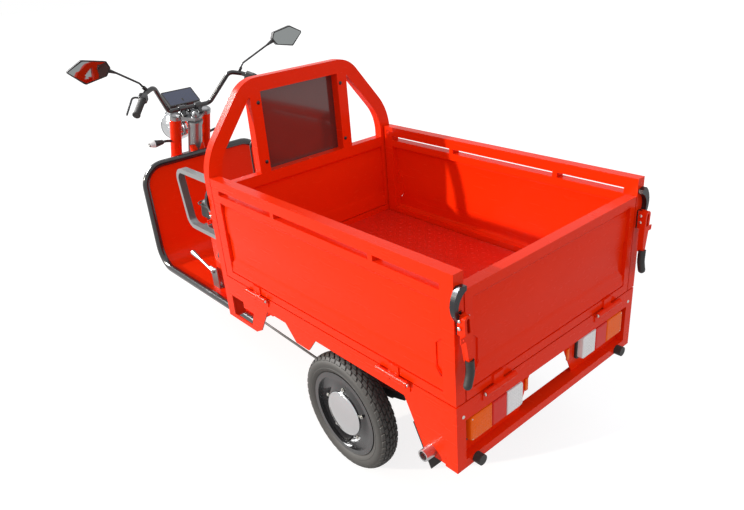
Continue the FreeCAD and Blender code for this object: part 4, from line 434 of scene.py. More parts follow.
FINISHES = {
    "red": Finish("Red gloss paint", Slot.RED, (0.90, 0.028, 0.002), 0.24, coat=0.03, drift=0.10,
                  dust=0.01, scale=120.0, relief=0.05, specular=0.08),
    "red_floor": Finish("Red paint of the load floor", Slot.RED, (0.78, 0.018, 0.004), 0.32,
                        coat=0.04, drift=0.14, dust=0.04, relief=0.05, specular=0.12),
    "black": Finish("Black gloss paint", Slot.BLACK, (0.012, 0.012, 0.014), 0.2, coat=0.6,
                    dust=0.05, relief=0.03),
    "satin": Finish("Satin black chassis paint", Slot.BLACK, (0.022, 0.022, 0.023), 0.5,
                    dust=0.25, relief=0.12),
    "steel": Finish("Bare steel", Slot.STEEL, (0.48, 0.48, 0.49), 0.34, metal=1.0, drift=0.2,
                    dust=0.08, scuff=0.2),
    "grey": Finish("Grey silver paint", Slot.STEEL, (0.30, 0.305, 0.31), 0.32, metal=0.75,
                   coat=0.3, dust=0.06),
    "zinc": Finish("Zinc plating", Slot.STEEL, (0.62, 0.61, 0.57), 0.28, metal=1.0, drift=0.25),
    "chrome": Finish("Chrome plating", Slot.CHROME, (0.62, 0.63, 0.64), 0.08, metal=1.0,
                     drift=0.03, relief=0.01),
    "tyre": Finish("Tyre rubber", Slot.TYRE, (0.040, 0.039, 0.038), 0.66, drift=0.3, dust=0.18,
                   pattern=Pattern.GRAIN, scale=500.0, relief=0.25),
    "rubber": Finish("Black rubber", Slot.RUBBER, (0.014, 0.014, 0.014), 0.55, dust=0.12,
                     pattern=Pattern.GRAIN, scale=420.0, relief=0.2),
    "plastic": Finish("Black moulded plastic", Slot.PLASTIC, (0.016, 0.016, 0.018), 0.38,
                      dust=0.08, pattern=Pattern.GRAIN, scale=520.0, relief=0.12),
    "seat": Finish("Black seat cover", Slot.SEAT, (0.018, 0.017, 0.017), 0.42, dust=0.08,
                   pattern=Pattern.GRAIN, scale=330.0, relief=0.3),
    "amber": Finish("Amber lens", Slot.LENS, (1.0, 0.14, 0.003), 0.14, coat=0.05, relief=0.02,
                    specular=0.12),
    "lens_red": Finish("Red lens", Slot.LENS, (0.80, 0.030, 0.020), 0.14, coat=0.05, relief=0.02,
                       specular=0.12),
    "lens_clear": Finish("Clear lens", Slot.LENS, (0.86, 0.85, 0.85), 0.10, coat=0.5, relief=0.02),
    "pane": Finish("Tinted pane", Slot.PANE, (0.120, 0.035, 0.030), 0.12, coat=0.6, drift=0.2,
                   relief=0.02),
    "screen": Finish("Display glass", Slot.PLASTIC, (0.006, 0.018, 0.075), 0.06, coat=1.0,
                     relief=0.005),
    "claw": Finish("Dark plated steel", Slot.STEEL, (0.045, 0.045, 0.05), 0.24, metal=0.8, drift=0.2,
                   scuff=0.2),
    "mirror": Finish("Mirror glass", Slot.CHROME, (0.30, 0.32, 0.32), 0.03, metal=1.0, drift=0.02,
                     relief=0.0, scuff=0.0),
}


class Paints:
    """The materials, built when first asked for."""

    def __init__(self) -> None:
        """Build the shared groups."""
        self.effects = Effects()
        self.made: dict[str, bpy.types.Material] = {}

    def get(self, key: str) -> bpy.types.Material:
        """The material of a finish.

        Args:
            key: Its key in FINISHES.

        Returns:
            The material.
        """
        if key not in self.made:
            self.made[key] = FINISHES[key].material(self.effects)
        return self.made[key]


class Workshop:
    """What every sub-assembly needs: the frame, the paints and the way pieces are fitted."""

    SHARP_EDGE = math.radians(32.0)
    MERGE = 0.01 * MM

    def __init__(self, frame: dict) -> None:
        """Keep the frame and work out where the bed's rear face is.
        """
        self.frame = frame
        self.paints = Paints()
        self.chassis, self.fork = "root", "steering"
        self.edges = self._edges()
        self.rear_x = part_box("rear_frame")[0].x

    def point(self, x: float, y: float, z: float) -> Vector:
        """A frame point from its station.

        Args:
            x: Millimetres ahead of the bed's rear face.
            y: Millimetres left of the middle.
            z: Millimetres above the ground.

        Returns:
            The point.
        """
        return Vector((self.rear_x + x * MM, y * MM, z * MM))

    def _edges(self) -> bpy.types.NodeTree:
        """A modifier's group that shades round faces smooth and keeps real edges sharp.

        Returns:
            The group.
        """
        tree = bpy.data.node_groups.new("Soft shading", "GeometryNodeTree")
        tree.interface.new_socket(name="Geometry", in_out="INPUT", socket_type="NodeSocketGeometry")
        tree.interface.new_socket(name="Geometry", in_out="OUTPUT", socket_type="NodeSocketGeometry")
        wiring = Wiring(tree)
        given, made = wiring.add("NodeGroupInput"), wiring.add("NodeGroupOutput")
        merge = wiring.add("GeometryNodeMergeByDistance")
        merge.inputs["Distance"].default_value = self.MERGE
        plain = wiring.add("GeometryNodeRemoveAttribute")
        plain.inputs["Name"].default_value = "custom_normal"
        faces = wiring.add("GeometryNodeSetShadeSmooth", domain="FACE")
        edges = wiring.add("GeometryNodeSetShadeSmooth", domain="EDGE")
        edges.inputs["Shade Smooth"].default_value = False
        angle = wiring.add("GeometryNodeInputMeshEdgeAngle")
        sharp = wiring.add("FunctionNodeCompare", operation="GREATER_THAN")
        sharp.inputs[1].default_value = self.SHARP_EDGE
        wiring.join(angle.outputs["Unsigned Angle"], sharp.inputs[0])
        wiring.join(sharp.outputs[0], edges.inputs["Selection"])
        chain = (given, merge, plain, faces, edges, made)
        for first, second in zip(chain, chain[1:]):
            wiring.join(first.outputs[0], second.inputs[0])
        return tree

    def dress(self, node: str, key: str) -> None:
        """Give a node of the model its finish and soft shading.

        Args:
            node: The node's name.
            key: The finish's key.
        """
        piece = self.frame["nodes"][node]
        piece.data.materials.clear()
        piece.data.materials.append(self.paints.get(key))
        piece.modifiers.new("Soft shading", "NODES").node_group = self.edges

    def fit(self, name: str, mesh: bmesh.types.BMesh, keys: Sequence[str], body: str,
            replaces: Iterable[str] = (), smooth_deg: float = 35.0) -> bpy.types.Object:
        """Turn a finished bmesh into a piece that rides on a body.

        Args:
            name: The piece's name.
            mesh: Its bmesh, which is freed.
            keys: Finishes by material index.
            body: The body that it rides on.
            replaces: Nodes of the model that it stands for.
            smooth_deg: Edges flatter than this are shaded smooth.

        Returns:
            The piece.
        """
        data = bpy.data.meshes.new(name)
        mesh.to_mesh(data)
        mesh.free()
        for polygon in data.polygons:
            polygon.use_smooth = True
        data.set_sharp_from_angle(angle=math.radians(smooth_deg))
        for key in keys:
            data.materials.append(self.paints.get(key))
        piece = bpy.data.objects.new(name, data)
        bpy.context.scene.collection.objects.link(piece)
        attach(piece, body)
        nodes = list(replaces)
        if nodes:
            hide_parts(*nodes)
        LOG.info("%s: %d faces on %s", name, len(data.polygons), body)
        return piece


@dataclass
class Studio:
    """The daylight, the camera and a ground that only light sees.

    Attributes:
        eye: Camera's place, in millimetres from the bed's rear face, the middle and the ground.
        azimuth_deg: Its heading from +X towards +Y.
        pitch_deg: Its tilt above the horizon.
        roll_deg: Its roll.
        lens_mm: Focal length on a 36 mm sensor.
        sun: Direction from the object to the sun.
        sun_power: Its strength.
        glossy_share: How much of the white background reflections show.
        card: Direction from the load bed to the card that the gates' ribs reflect.
        card_level: The card's power in watts.
        card_size: Its sides in metres.
        card_target: The middle of the left gate, as stations in millimetres.
        card_away: How far from there the card is, in metres.
        sun_colour: The sunlight's colour.
        sun_width_deg: How wide the sun is.
        sky_level: The sky's strength.
        floor_half: Half the floor's side in metres.
        floor_glow: How bright the floor is to the camera in full shadow.
        floor_colour: The floor's colour as other surfaces are lit by it.
        shadow_colour: How much of the shadow the camera sees.
    """

    eye: Colour = (-1053.5, 1604.3, 1794.2)
    azimuth_deg: float = -39.381
    pitch_deg: float = -25.204
    roll_deg: float = -4.765
    lens_mm: float = 32.50
    sun: Colour = (0.52, 1.00, 0.37)
    sun_power: float = 3.1
    glossy_share: float = 0.6
    card: Colour = (0.70, 0.43, 0.57)
    card_level: float = 900.0
    card_size: tuple[float, float] = (2.6, 1.1)
    card_target: Colour = (600.0, 450.0, 800.0)
    card_away: float = 5.0
    sun_colour: Colour = (1.0, 0.93, 0.80)
    sun_width_deg: float = 1.6
    sky_level: float = 1.05
    floor_half: float = 30.0
    floor_glow: float = 0.82
    floor_colour: Colour = (0.42, 0.41, 0.40)
    shadow_colour: Colour = (0.30, 0.30, 0.30)

    def camera(self, shop: Workshop) -> None:
        """Set up the camera at the photograph's view.

        Args:
            shop: The workshop, which knows the stations.
        """
        azimuth, pitch = math.radians(self.azimuth_deg), math.radians(self.pitch_deg)
        roll = math.radians(self.roll_deg)
        ahead = Vector((math.cos(azimuth) * math.cos(pitch), math.sin(azimuth) * math.cos(pitch),
                        math.sin(pitch)))
        right = ahead.cross(Vector((0.0, 0.0, 1.0))).normalized()
        up = right.cross(ahead)
        turned_right = right * math.cos(roll) + up * math.sin(roll)
        turned_up = up * math.cos(roll) - right * math.sin(roll)
        data = bpy.data.cameras.new("View")
        data.sensor_width = 36.0
        data.lens = self.lens_mm
        data.clip_start, data.clip_end = 0.05, 100.0
        camera = bpy.data.objects.new("View", data)
        turn = Matrix((turned_right, turned_up, -ahead)).transposed()
        camera.matrix_world = Matrix.Translation(shop.point(*self.eye)) @ turn.to_4x4()
        bpy.context.scene.collection.objects.link(camera)
        bpy.context.scene.camera = camera

    def seen(self, wiring: Wiring) -> bpy.types.NodeSocket:
        """The share of the white background in what a ray sees, which is all of it for the camera.

        Args:
            wiring: The wiring of the floor's or the sky's nodes.

        Returns:
            The share.
        """
        path = wiring.add("ShaderNodeLightPath")
        glossy = wiring.maths("MULTIPLY", path.outputs["Is Glossy Ray"], self.glossy_share)
        direct = wiring.maths("MAXIMUM", path.outputs["Is Camera Ray"],
                              path.outputs["Is Transmission Ray"])
        return wiring.maths("MAXIMUM", direct, glossy)

    def ground(self) -> None:
        """Lay a pale floor: white to the camera, with the object's faint shadow."""
        mesh = bmesh.new()
        bmesh.ops.create_grid(mesh, x_segments=1, y_segments=1, size=self.floor_half)
        data = bpy.data.meshes.new("Ground")
        mesh.to_mesh(data)
        mesh.free()
        ground = bpy.data.objects.new("Ground", data)
        bpy.context.scene.collection.objects.link(ground)
        made = bpy.data.materials.new("Pale ground")
        made.use_nodes = True
        wiring = Wiring(made.node_tree)
        soil = made.node_tree.nodes["Principled BSDF"]
        soil.inputs["Base Color"].default_value = (*self.floor_colour, 1.0)
        soil.inputs["Roughness"].default_value = 1.0
        glow = wiring.add("ShaderNodeEmission")
        glow.inputs["Strength"].default_value = self.floor_glow
        matt = wiring.add("ShaderNodeBsdfDiffuse")
        matt.inputs["Color"].default_value = (*self.shadow_colour, 1.0)
        white = wiring.add("ShaderNodeAddShader")
        wiring.join(glow.outputs[0], white.inputs[0])
        wiring.join(matt.outputs[0], white.inputs[1])
        mix = wiring.add("ShaderNodeMixShader")
        wiring.join(self.seen(wiring), mix.inputs[0])
        wiring.join(soil.outputs[0], mix.inputs[1])
        wiring.join(white.outputs[0], mix.inputs[2])
        wiring.join(mix.outputs[0], made.node_tree.nodes["Material Output"].inputs["Surface"])
        data.materials.append(made)

    def sky(self) -> None:
        """A day sky for the light, and plain white behind the object for the camera."""
        world = bpy.data.worlds.new("Day")
        world.use_nodes = True
        wiring = Wiring(world.node_tree)
        sky = world.node_tree.nodes["Background"]
        place = wiring.add("ShaderNodeTexCoord")
        split = wiring.add("ShaderNodeSeparateXYZ")
        wiring.join(place.outputs["Generated"], split.inputs["Vector"])
        ramp = wiring.add("ShaderNodeValToRGB")
        stops = ramp.color_ramp.elements
        stops[0].position, stops[0].color = 0.0, (0.16, 0.15, 0.15, 1.0)
        stops[1].position, stops[1].color = 1.0, (0.72, 0.75, 0.80, 1.0)
        for position, colour in ((0.49, (0.30, 0.29, 0.28, 1.0)), (0.53, (0.80, 0.79, 0.78, 1.0)),
                                 (0.70, (0.76, 0.77, 0.80, 1.0))):
            stops.new(position).color = colour
        level = wiring.maths("ADD", wiring.maths("MULTIPLY", split.outputs["Z"], 0.5), 0.5)
        wiring.join(level, ramp.inputs["Fac"])
        wiring.join(ramp.outputs["Color"], sky.inputs["Color"])
        sky.inputs["Strength"].default_value = self.sky_level
        white = wiring.add("ShaderNodeBackground")
        white.inputs["Color"].default_value = (1.0, 1.0, 1.0, 1.0)
        white.inputs["Strength"].default_value = 1.0
        mix = wiring.add("ShaderNodeMixShader")
        wiring.join(self.seen(wiring), mix.inputs[0])
        wiring.join(sky.outputs[0], mix.inputs[1])
        wiring.join(white.outputs[0], mix.inputs[2])
        wiring.join(mix.outputs[0], world.node_tree.nodes["World Output"].inputs["Surface"])
        bpy.context.scene.world = world

    def sunlight(self) -> None:
        """The sun, over the vehicle's left side."""
        data = bpy.data.lights.new("Sun", "SUN")
        data.energy = self.sun_power
        data.angle = math.radians(self.sun_width_deg)
        data.color = self.sun_colour
        sun = bpy.data.objects.new("Sun", data)
        sun.rotation_euler = (-Vector(self.sun)).to_track_quat("-Z", "Y").to_euler()
        bpy.context.scene.collection.objects.link(sun)

    def highlight(self, shop: Workshop) -> None:
        """A soft card that only reflections see, which draws the bright lines on the ribs.

        Args:
            shop: The workshop, which knows the stations.
        """
        data = bpy.data.lights.new("Highlight card", "AREA")
        data.shape = "RECTANGLE"
        data.size, data.size_y = self.card_size
        data.energy = self.card_level
        away = Vector(self.card).normalized()
        card = bpy.data.objects.new("Highlight card", data)
        card.location = shop.point(*self.card_target) + away * self.card_away
        card.rotation_euler = (-away).to_track_quat("-Z", "Y").to_euler()
        card.visible_diffuse = False
        bpy.context.scene.collection.objects.link(card)

    def build(self, shop: Workshop) -> None:
        """Set up the camera, the ground and the light.

        Args:
            shop: The workshop.
        """
        self.camera(shop)
        self.ground()
        self.sky()
        self.sunlight()
        self.highlight(shop)
        bpy.context.scene.view_settings.view_transform = "Standard"


class Shapes:
    """Builds closed forms with mesh operators and gathers them in one bmesh, in metres."""

    MERGE = 0.001 * MM
    BEVEL_STEPS = 3

    def __init__(self) -> None:
        """Start an empty mesh."""
        self.mesh = bmesh.new()

    def take(self, form: bmesh.types.BMesh, material: int) -> None:
        """Merge a form's doubles, turn its faces outwards and add it to the rest.

        Args:
            form: The form, which is freed.
            material: Material index of its faces.
        """
        bmesh.ops.remove_doubles(form, verts=form.verts, dist=self.MERGE)
        bmesh.ops.recalc_face_normals(form, faces=form.faces)
        for face in form.faces:
            face.material_index = material
        data = bpy.data.meshes.new("Form")
        form.to_mesh(data)
        form.free()
        self.mesh.from_mesh(data)
        bpy.data.meshes.remove(data)

    def lift(self, form: bmesh.types.BMesh, face: bmesh.types.BMFace) -> bmesh.types.BMFace:
        """Extrude a face in place.

        Args:
            form: The form that it belongs to.
            face: The face.

        Returns:
            The new face, still where the old one was.
        """
        made = bmesh.ops.extrude_face_region(form, geom=[face, *face.edges, *face.verts])["geom"]
        return next(item for item in made if isinstance(item, bmesh.types.BMFace))

    def skin(self, rings: Sequence[Sequence[Vector]], closed: bool = False) -> bmesh.types.BMesh:
        """Extrude the first ring's face through the other rings.

        Args:
            rings: Rings that have as many points each, in order.
            closed: Whether the last ring joins the first.

        Returns:
            The form.
        """
        form = bmesh.new()
        start = form.faces.new([form.verts.new(point) for point in rings[0]])
        face = start
        for ring in rings[1:]:
            face = self.lift(form, face)
            for vert, point in zip(face.verts, ring):
                vert.co = point
        if closed:
            edges = [*start.edges, *face.edges]
            bmesh.ops.delete(form, geom=[start, face], context="FACES_ONLY")
            bmesh.ops.bridge_loops(form, edges=edges)
        return form

    def loft(self, rings: Sequence[Sequence[Vector]], closed: bool = False, material: int = 0) -> None:
        """Add a form skinned over rings.

        Args:
            rings: Rings that have as many points each, in order.
            closed: Whether the last ring joins the first.
            material: Material index of the faces.
        """
        self.take(self.skin(rings, closed), material)

    def repeat(self, form: bmesh.types.BMesh, place: Vector, axis: Vector, count: int,
               material: int = 0) -> None:
        """Add a form and its even copies round an axis.

        Args:
            form: The form, which is freed.
            place: A point on the axis.
            axis: The axis.
            count: How many copies a turn has.
            material: Material index of the faces.
        """
        geometry = [*form.verts, *form.edges, *form.faces]
        bmesh.ops.spin(form, geom=geometry, cent=place, axis=axis, steps=count - 1,
                       angle=math.tau * (count - 1) / count, use_duplicate=True)
        self.take(form, material)

    def box(self, low: Vector, high: Vector, bevel: float = 0.0, material: int = 0) -> None:
        """Add a box between two corners.

        Args:
            low: Its lowest corner.
            high: Its highest corner.
            bevel: Width of its rounded edges.
            material: Material index of the faces.
        """
        form = bmesh.new()
        place = Matrix.LocRotScale((low + high) / 2, None, high - low)
        bmesh.ops.create_cube(form, size=1.0, matrix=place)
        if bevel:
            bmesh.ops.bevel(form, geom=form.edges[:], offset=bevel, segments=self.BEVEL_STEPS,
                            profile=0.5, affect="EDGES", material=-1)
        self.take(form, material)

    def lathe(self, profile: Sequence[tuple[float, float]], place: Vector, axis: Vector,
              steps: int = 96, material: int = 0, ring: bool = False) -> None:
        """Spin a profile of (along, radius) points about an axis.

        Args:
            profile: The points, from one end to the other.
            place: A point on the axis, where along is 0.
            axis: The axis.
            steps: How many steps make a turn.
            material: Material index of the faces.
            ring: Whether the profile is closed and clear of the axis.
        """
        across, ahead = axis.orthogonal().normalized(), axis.normalized()
        form = bmesh.new()
        verts = [form.verts.new(place + ahead * along + across * radius) for along, radius in profile]
        edges = [form.edges.new(pair) for pair in zip(verts, verts[1:])]
        if ring:
            edges.append(form.edges.new((verts[-1], verts[0])))
        bmesh.ops.spin(form, geom=[*verts, *edges], cent=place, axis=ahead, angle=math.tau,
                       steps=steps, use_merge=True)
        rims = [edge for edge in form.edges if edge.is_boundary]
        if rims:
            bmesh.ops.edgeloop_fill(form, edges=rims)
        self.take(form, material)

    def tube(self, points: Sequence[Vector], radii: Sequence[float], sides: int = 20,
             material: int = 0) -> None:
        """Extrude a circle along points.

        Args:
            points: The points, in order.
            radii: The tube's radius at each point.
            sides: How many sides the circle has.
            material: Material index of the faces.
        """
        frames = []
        side = (points[1] - points[0]).orthogonal().normalized()
        for index, (point, radius) in enumerate(zip(points, radii)):
            before, after = points[max(index - 1, 0)], points[min(index + 1, len(points) - 1)]
            run = (after - before).normalized()
            side = (side - run * side.dot(run)).normalized()
            turn = Matrix((side.cross(run), side, run)).transposed().to_4x4()
            frames.append(Matrix.Translation(point) @ turn @ Matrix.Scale(radius, 4))
        form = bmesh.new()
        bmesh.ops.create_circle(form, cap_ends=True, segments=sides, radius=1.0, matrix=frames[0])
        face = form.faces[:][0]
        for before, after in zip(frames, frames[1:]):
            face = self.lift(form, face)
            bmesh.ops.transform(form, matrix=after @ before.inverted(), verts=face.verts[:])
        self.take(form, material)

    def plate(self, outline: Sequence[Vector], run: Vector, material: int = 0) -> None:
        """Extrude a flat outline along a run.

        Args:
            outline: The outline's points.
            run: How far and which way it goes.
            material: Material index of the faces.
        """
        form = bmesh.new()
        face = self.lift(form, form.faces.new([form.verts.new(point) for point in outline]))
        bmesh.ops.translate(form, vec=run, verts=face.verts[:])
        self.take(form, material)

    def bolt(self, place: Vector, axis: Vector, radius: float, material: int = 0) -> None:
        """Add a hexagon bolt head on a washer.

        Args:
            place: Its seat.
            axis: The way that it looks.
            radius: The head's radius at its corners.
            material: Material index of the faces.
        """
        washer = [(-0.1 * radius, 1.35 * radius), (0.16 * radius, 1.35 * radius),
                  (0.22 * radius, 1.25 * radius)]
        head = [(0.2 * radius, radius), (0.82 * radius, radius), (0.95 * radius, 0.84 * radius)]
        self.lathe(washer, place, axis, 24, material)
        self.lathe(head, place, axis, 6, material)

    def dome(self, place: Vector, axis: Vector, radius: float, height: float,
             material: int = 0) -> None:
        """Add a round head.

        Args:
            place: Its seat.
            axis: The way that it looks.
            radius: Its radius.
            height: Its height.
            material: Material index of the faces.
        """
        profile = [(-0.2 * height, radius)]
        for step in range(6):
            turn = math.radians(88.0) * step / 5
            profile.append((height * math.sin(turn), radius * math.cos(turn)))
        self.lathe(profile, place, axis, 20, material)


def rounded(width: float, height: float, corner: float, steps: int = 6) -> list[tuple[float, float]]:
    """Points round a rectangle with rounded corners, centred on the origin.

    Args:
        width: The rectangle's first side.
        height: Its other side.
        corner: The corners' radius.
        steps: How many steps make a corner.

    Returns:
        The points.
    """
    points = []
    for quarter, (sign_x, sign_y) in enumerate(((1, 1), (-1, 1), (-1, -1), (1, -1))):
        for step in range(steps + 1):
            turn = math.pi / 2 * (quarter + step / steps)
            points.append((sign_x * (width / 2 - corner) + corner * math.cos(turn),
                           sign_y * (height / 2 - corner) + corner * math.sin(turn)))
    return points


def arc(first: Vector, middle: Vector, last: Vector, steps: int = 14) -> list[Vector]:
    """Points along the circle through three points.

    Args:
        first: The first point.
        middle: A point on the way.
        last: The last point.
        steps: How many steps make the way.

    Returns:
        The points.
    """
    a, b = middle - first, last - first
    normal = a.cross(b)
    centre = first + (normal.cross(a) * b.length_squared
                      + b.cross(normal) * a.length_squared) / (2 * normal.length_squared)
    sweep = (first - centre).angle(middle - centre) + (middle - centre).angle(last - centre)
    turn = normal.normalized()
    return [centre + Matrix.Rotation(sweep * step / steps, 3, turn) @ (first - centre)
            for step in range(steps + 1)]


@dataclass
class SubAssembly:
    """One group of pieces; each kind builds its own.

    Attributes:
        shop: The workshop that fits the pieces.
    """

    shop: Workshop

    def build(self) -> None:
        """Build the pieces."""
        raise NotImplementedError


@dataclass
class Wheel(SubAssembly):
    """A tyre with its tread, and the small parts of its rim.

    Attributes:
        name: The end of its nodes' names.
        body: The body that turns.
        outward: Which way along Y its disc faces.
    """

    name: str
    body: str
    outward: float

    RIM_RADIUS = 166 * MM
    BEAD_HALF = 31 * MM
    BEAD_RADIUS = 153 * MM
    WIDEST_SHARE = 0.47
    POWER = 2.4
    TREAD = 6 * MM
    PITCHES = 46
    BLOCK_SKEW = 0.22
    ROWS = ((1.2, 12.0, 0.0), (14.4, 25.0, 0.5), (27.4, 37.6, 0.12))
    BOLT_CIRCLE = 101 * MM
    BOLT_SEAT = 25.5 * MM

    def __post_init__(self) -> None:
        """Read the tyre's size from the frame."""
        low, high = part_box(f"tyre_{self.name}")
        self.centre = (low + high) / 2
        self.radius = (high.z - low.z) / 2
        self.half = (high.y - low.y) / 2
        self.middle = self.RIM_RADIUS + (self.radius - self.RIM_RADIUS) * self.WIDEST_SHARE

    def surface(self, across: float) -> float:
        """The tread's radius at a distance from the middle plane."""
        share = min(abs(across) / self.half, 1.0) ** self.POWER
        return self.middle + (self.radius - self.middle) * (1.0 - share) ** (1.0 / self.POWER)

    def carcass(self, shapes: Shapes) -> None:
        """Add the casing below the tread, with ring lines on its side walls.

        Args:
            shapes: The shapes that take it.
        """
        crown = self.radius - self.middle - self.TREAD
        half = [(self.BEAD_HALF, self.BEAD_RADIUS), (self.BEAD_HALF, self.RIM_RADIUS + MM),
                (self.half - 6 * MM, self.RIM_RADIUS + 6 * MM),
                (self.half - 2.4 * MM, self.RIM_RADIUS + 14 * MM),
                (self.half - 1.1 * MM, self.RIM_RADIUS + 18 * MM),
                (self.half - 2.0 * MM, self.RIM_RADIUS + 19.5 * MM),
                (self.half - 0.6 * MM, self.RIM_RADIUS + 24 * MM)]
        for step in range(18):
            turn = math.pi / 2 * step / 18
            half.append((self.half * math.cos(turn) ** (2 / self.POWER),
                         self.middle + crown * math.sin(turn) ** (2 / self.POWER)))
        profile = half + [(0.0, self.middle + crown)] + [(-y, r) for y, r in reversed(half)]
        profile += [(-self.BEAD_HALF + 13 * MM, self.BEAD_RADIUS),
                    (-self.BEAD_HALF + 6 * MM, self.RIM_RADIUS + 8 * MM),
                    (self.BEAD_HALF - 6 * MM, self.RIM_RADIUS + 8 * MM),
                    (self.BEAD_HALF - 13 * MM, self.BEAD_RADIUS)]
        shapes.lathe(profile, self.centre, Vector((0.0, 1.0, 0.0)), 144, ring=True)

    def block(self, shapes: Shapes, inner: float, outer: float, turn: float,
              skew: float) -> bmesh.types.BMesh:
        """Make one tread block.

        Args:
            shapes: The shapes that skin it.
            inner: Its near side's distance from the middle plane.
            outer: Its far side's distance.
            turn: Its angle round the wheel.
            skew: How far its far side is turned on.

        Returns:
            The block.
        """
        pitch = math.tau / self.PITCHES
        rings = []
        for depth, share in ((-1.5 * MM, 0.40), (self.TREAD, 0.34)):
            ring = []
            for across, lean, sign in ((inner, 0.0, -1), (outer, skew, -1),
                                       (outer, skew, 1), (inner, 0.0, 1)):
                taper = 1.2 * MM * (share < 0.4)
                y = across + math.copysign(taper, (inner + outer) / 2 - across)
                reach = self.surface(y) - self.TREAD + depth
                angle = turn + lean + sign * share * pitch
                ring.append(self.centre + Vector((reach * math.cos(angle), y,
                                                  reach * math.sin(angle))))
            rings.append(ring)
        return shapes.skin(rings)

    def tread(self, shapes: Shapes) -> None:
        """Add staggered rows of blocks round the crown.

        Args:
            shapes: The shapes that take them.
        """
        pitch = math.tau / self.PITCHES
        for side in (1.0, -1.0):
            for inner, outer, shift in self.ROWS:
                turn = (shift + 0.25 * (side > 0)) * pitch
                block = self.block(shapes, side * inner * MM, side * outer * MM, turn,
                                   self.BLOCK_SKEW * pitch)
                shapes.repeat(block, self.centre, Vector((0.0, 1.0, 0.0)), self.PITCHES)

    def rim_parts(self) -> None:
        """Bolts of the disc and the valve."""
        shapes = Shapes()
        axis = Vector((0.0, self.outward, 0.0))
        for index in range(5):
            turn = math.radians(18.0 + 72.0 * index)
            place = self.centre + axis * self.BOLT_SEAT
            place += Vector((math.cos(turn), 0.0, math.sin(turn))) * self.BOLT_CIRCLE
            shapes.bolt(place, axis, 5.2 * MM)
        root = self.centre + axis * 14 * MM + Vector((0.0, 0.0, -131 * MM))
        tip = root + axis * 20 * MM + Vector((0.0, 0.0, 5 * MM))
        shapes.tube([root, root.lerp(tip, 0.6), root.lerp(tip, 0.62), tip],
                    [4.5 * MM, 4.0 * MM, 3.0 * MM, 3.0 * MM], 14, 1)
        self.shop.fit(f"rim_parts_{self.name}", shapes.mesh, ("zinc", "rubber"), self.body)

    def build(self) -> None:
        """Build the tyre and the rim's small parts."""
        shapes = Shapes()
        self.carcass(shapes)
        self.tread(shapes)
        self.shop.fit(f"tyre_tread_{self.name}", shapes.mesh, ("tyre",), self.body,
                      (f"tyre_{self.name}",), 28.0)
        self.rim_parts()


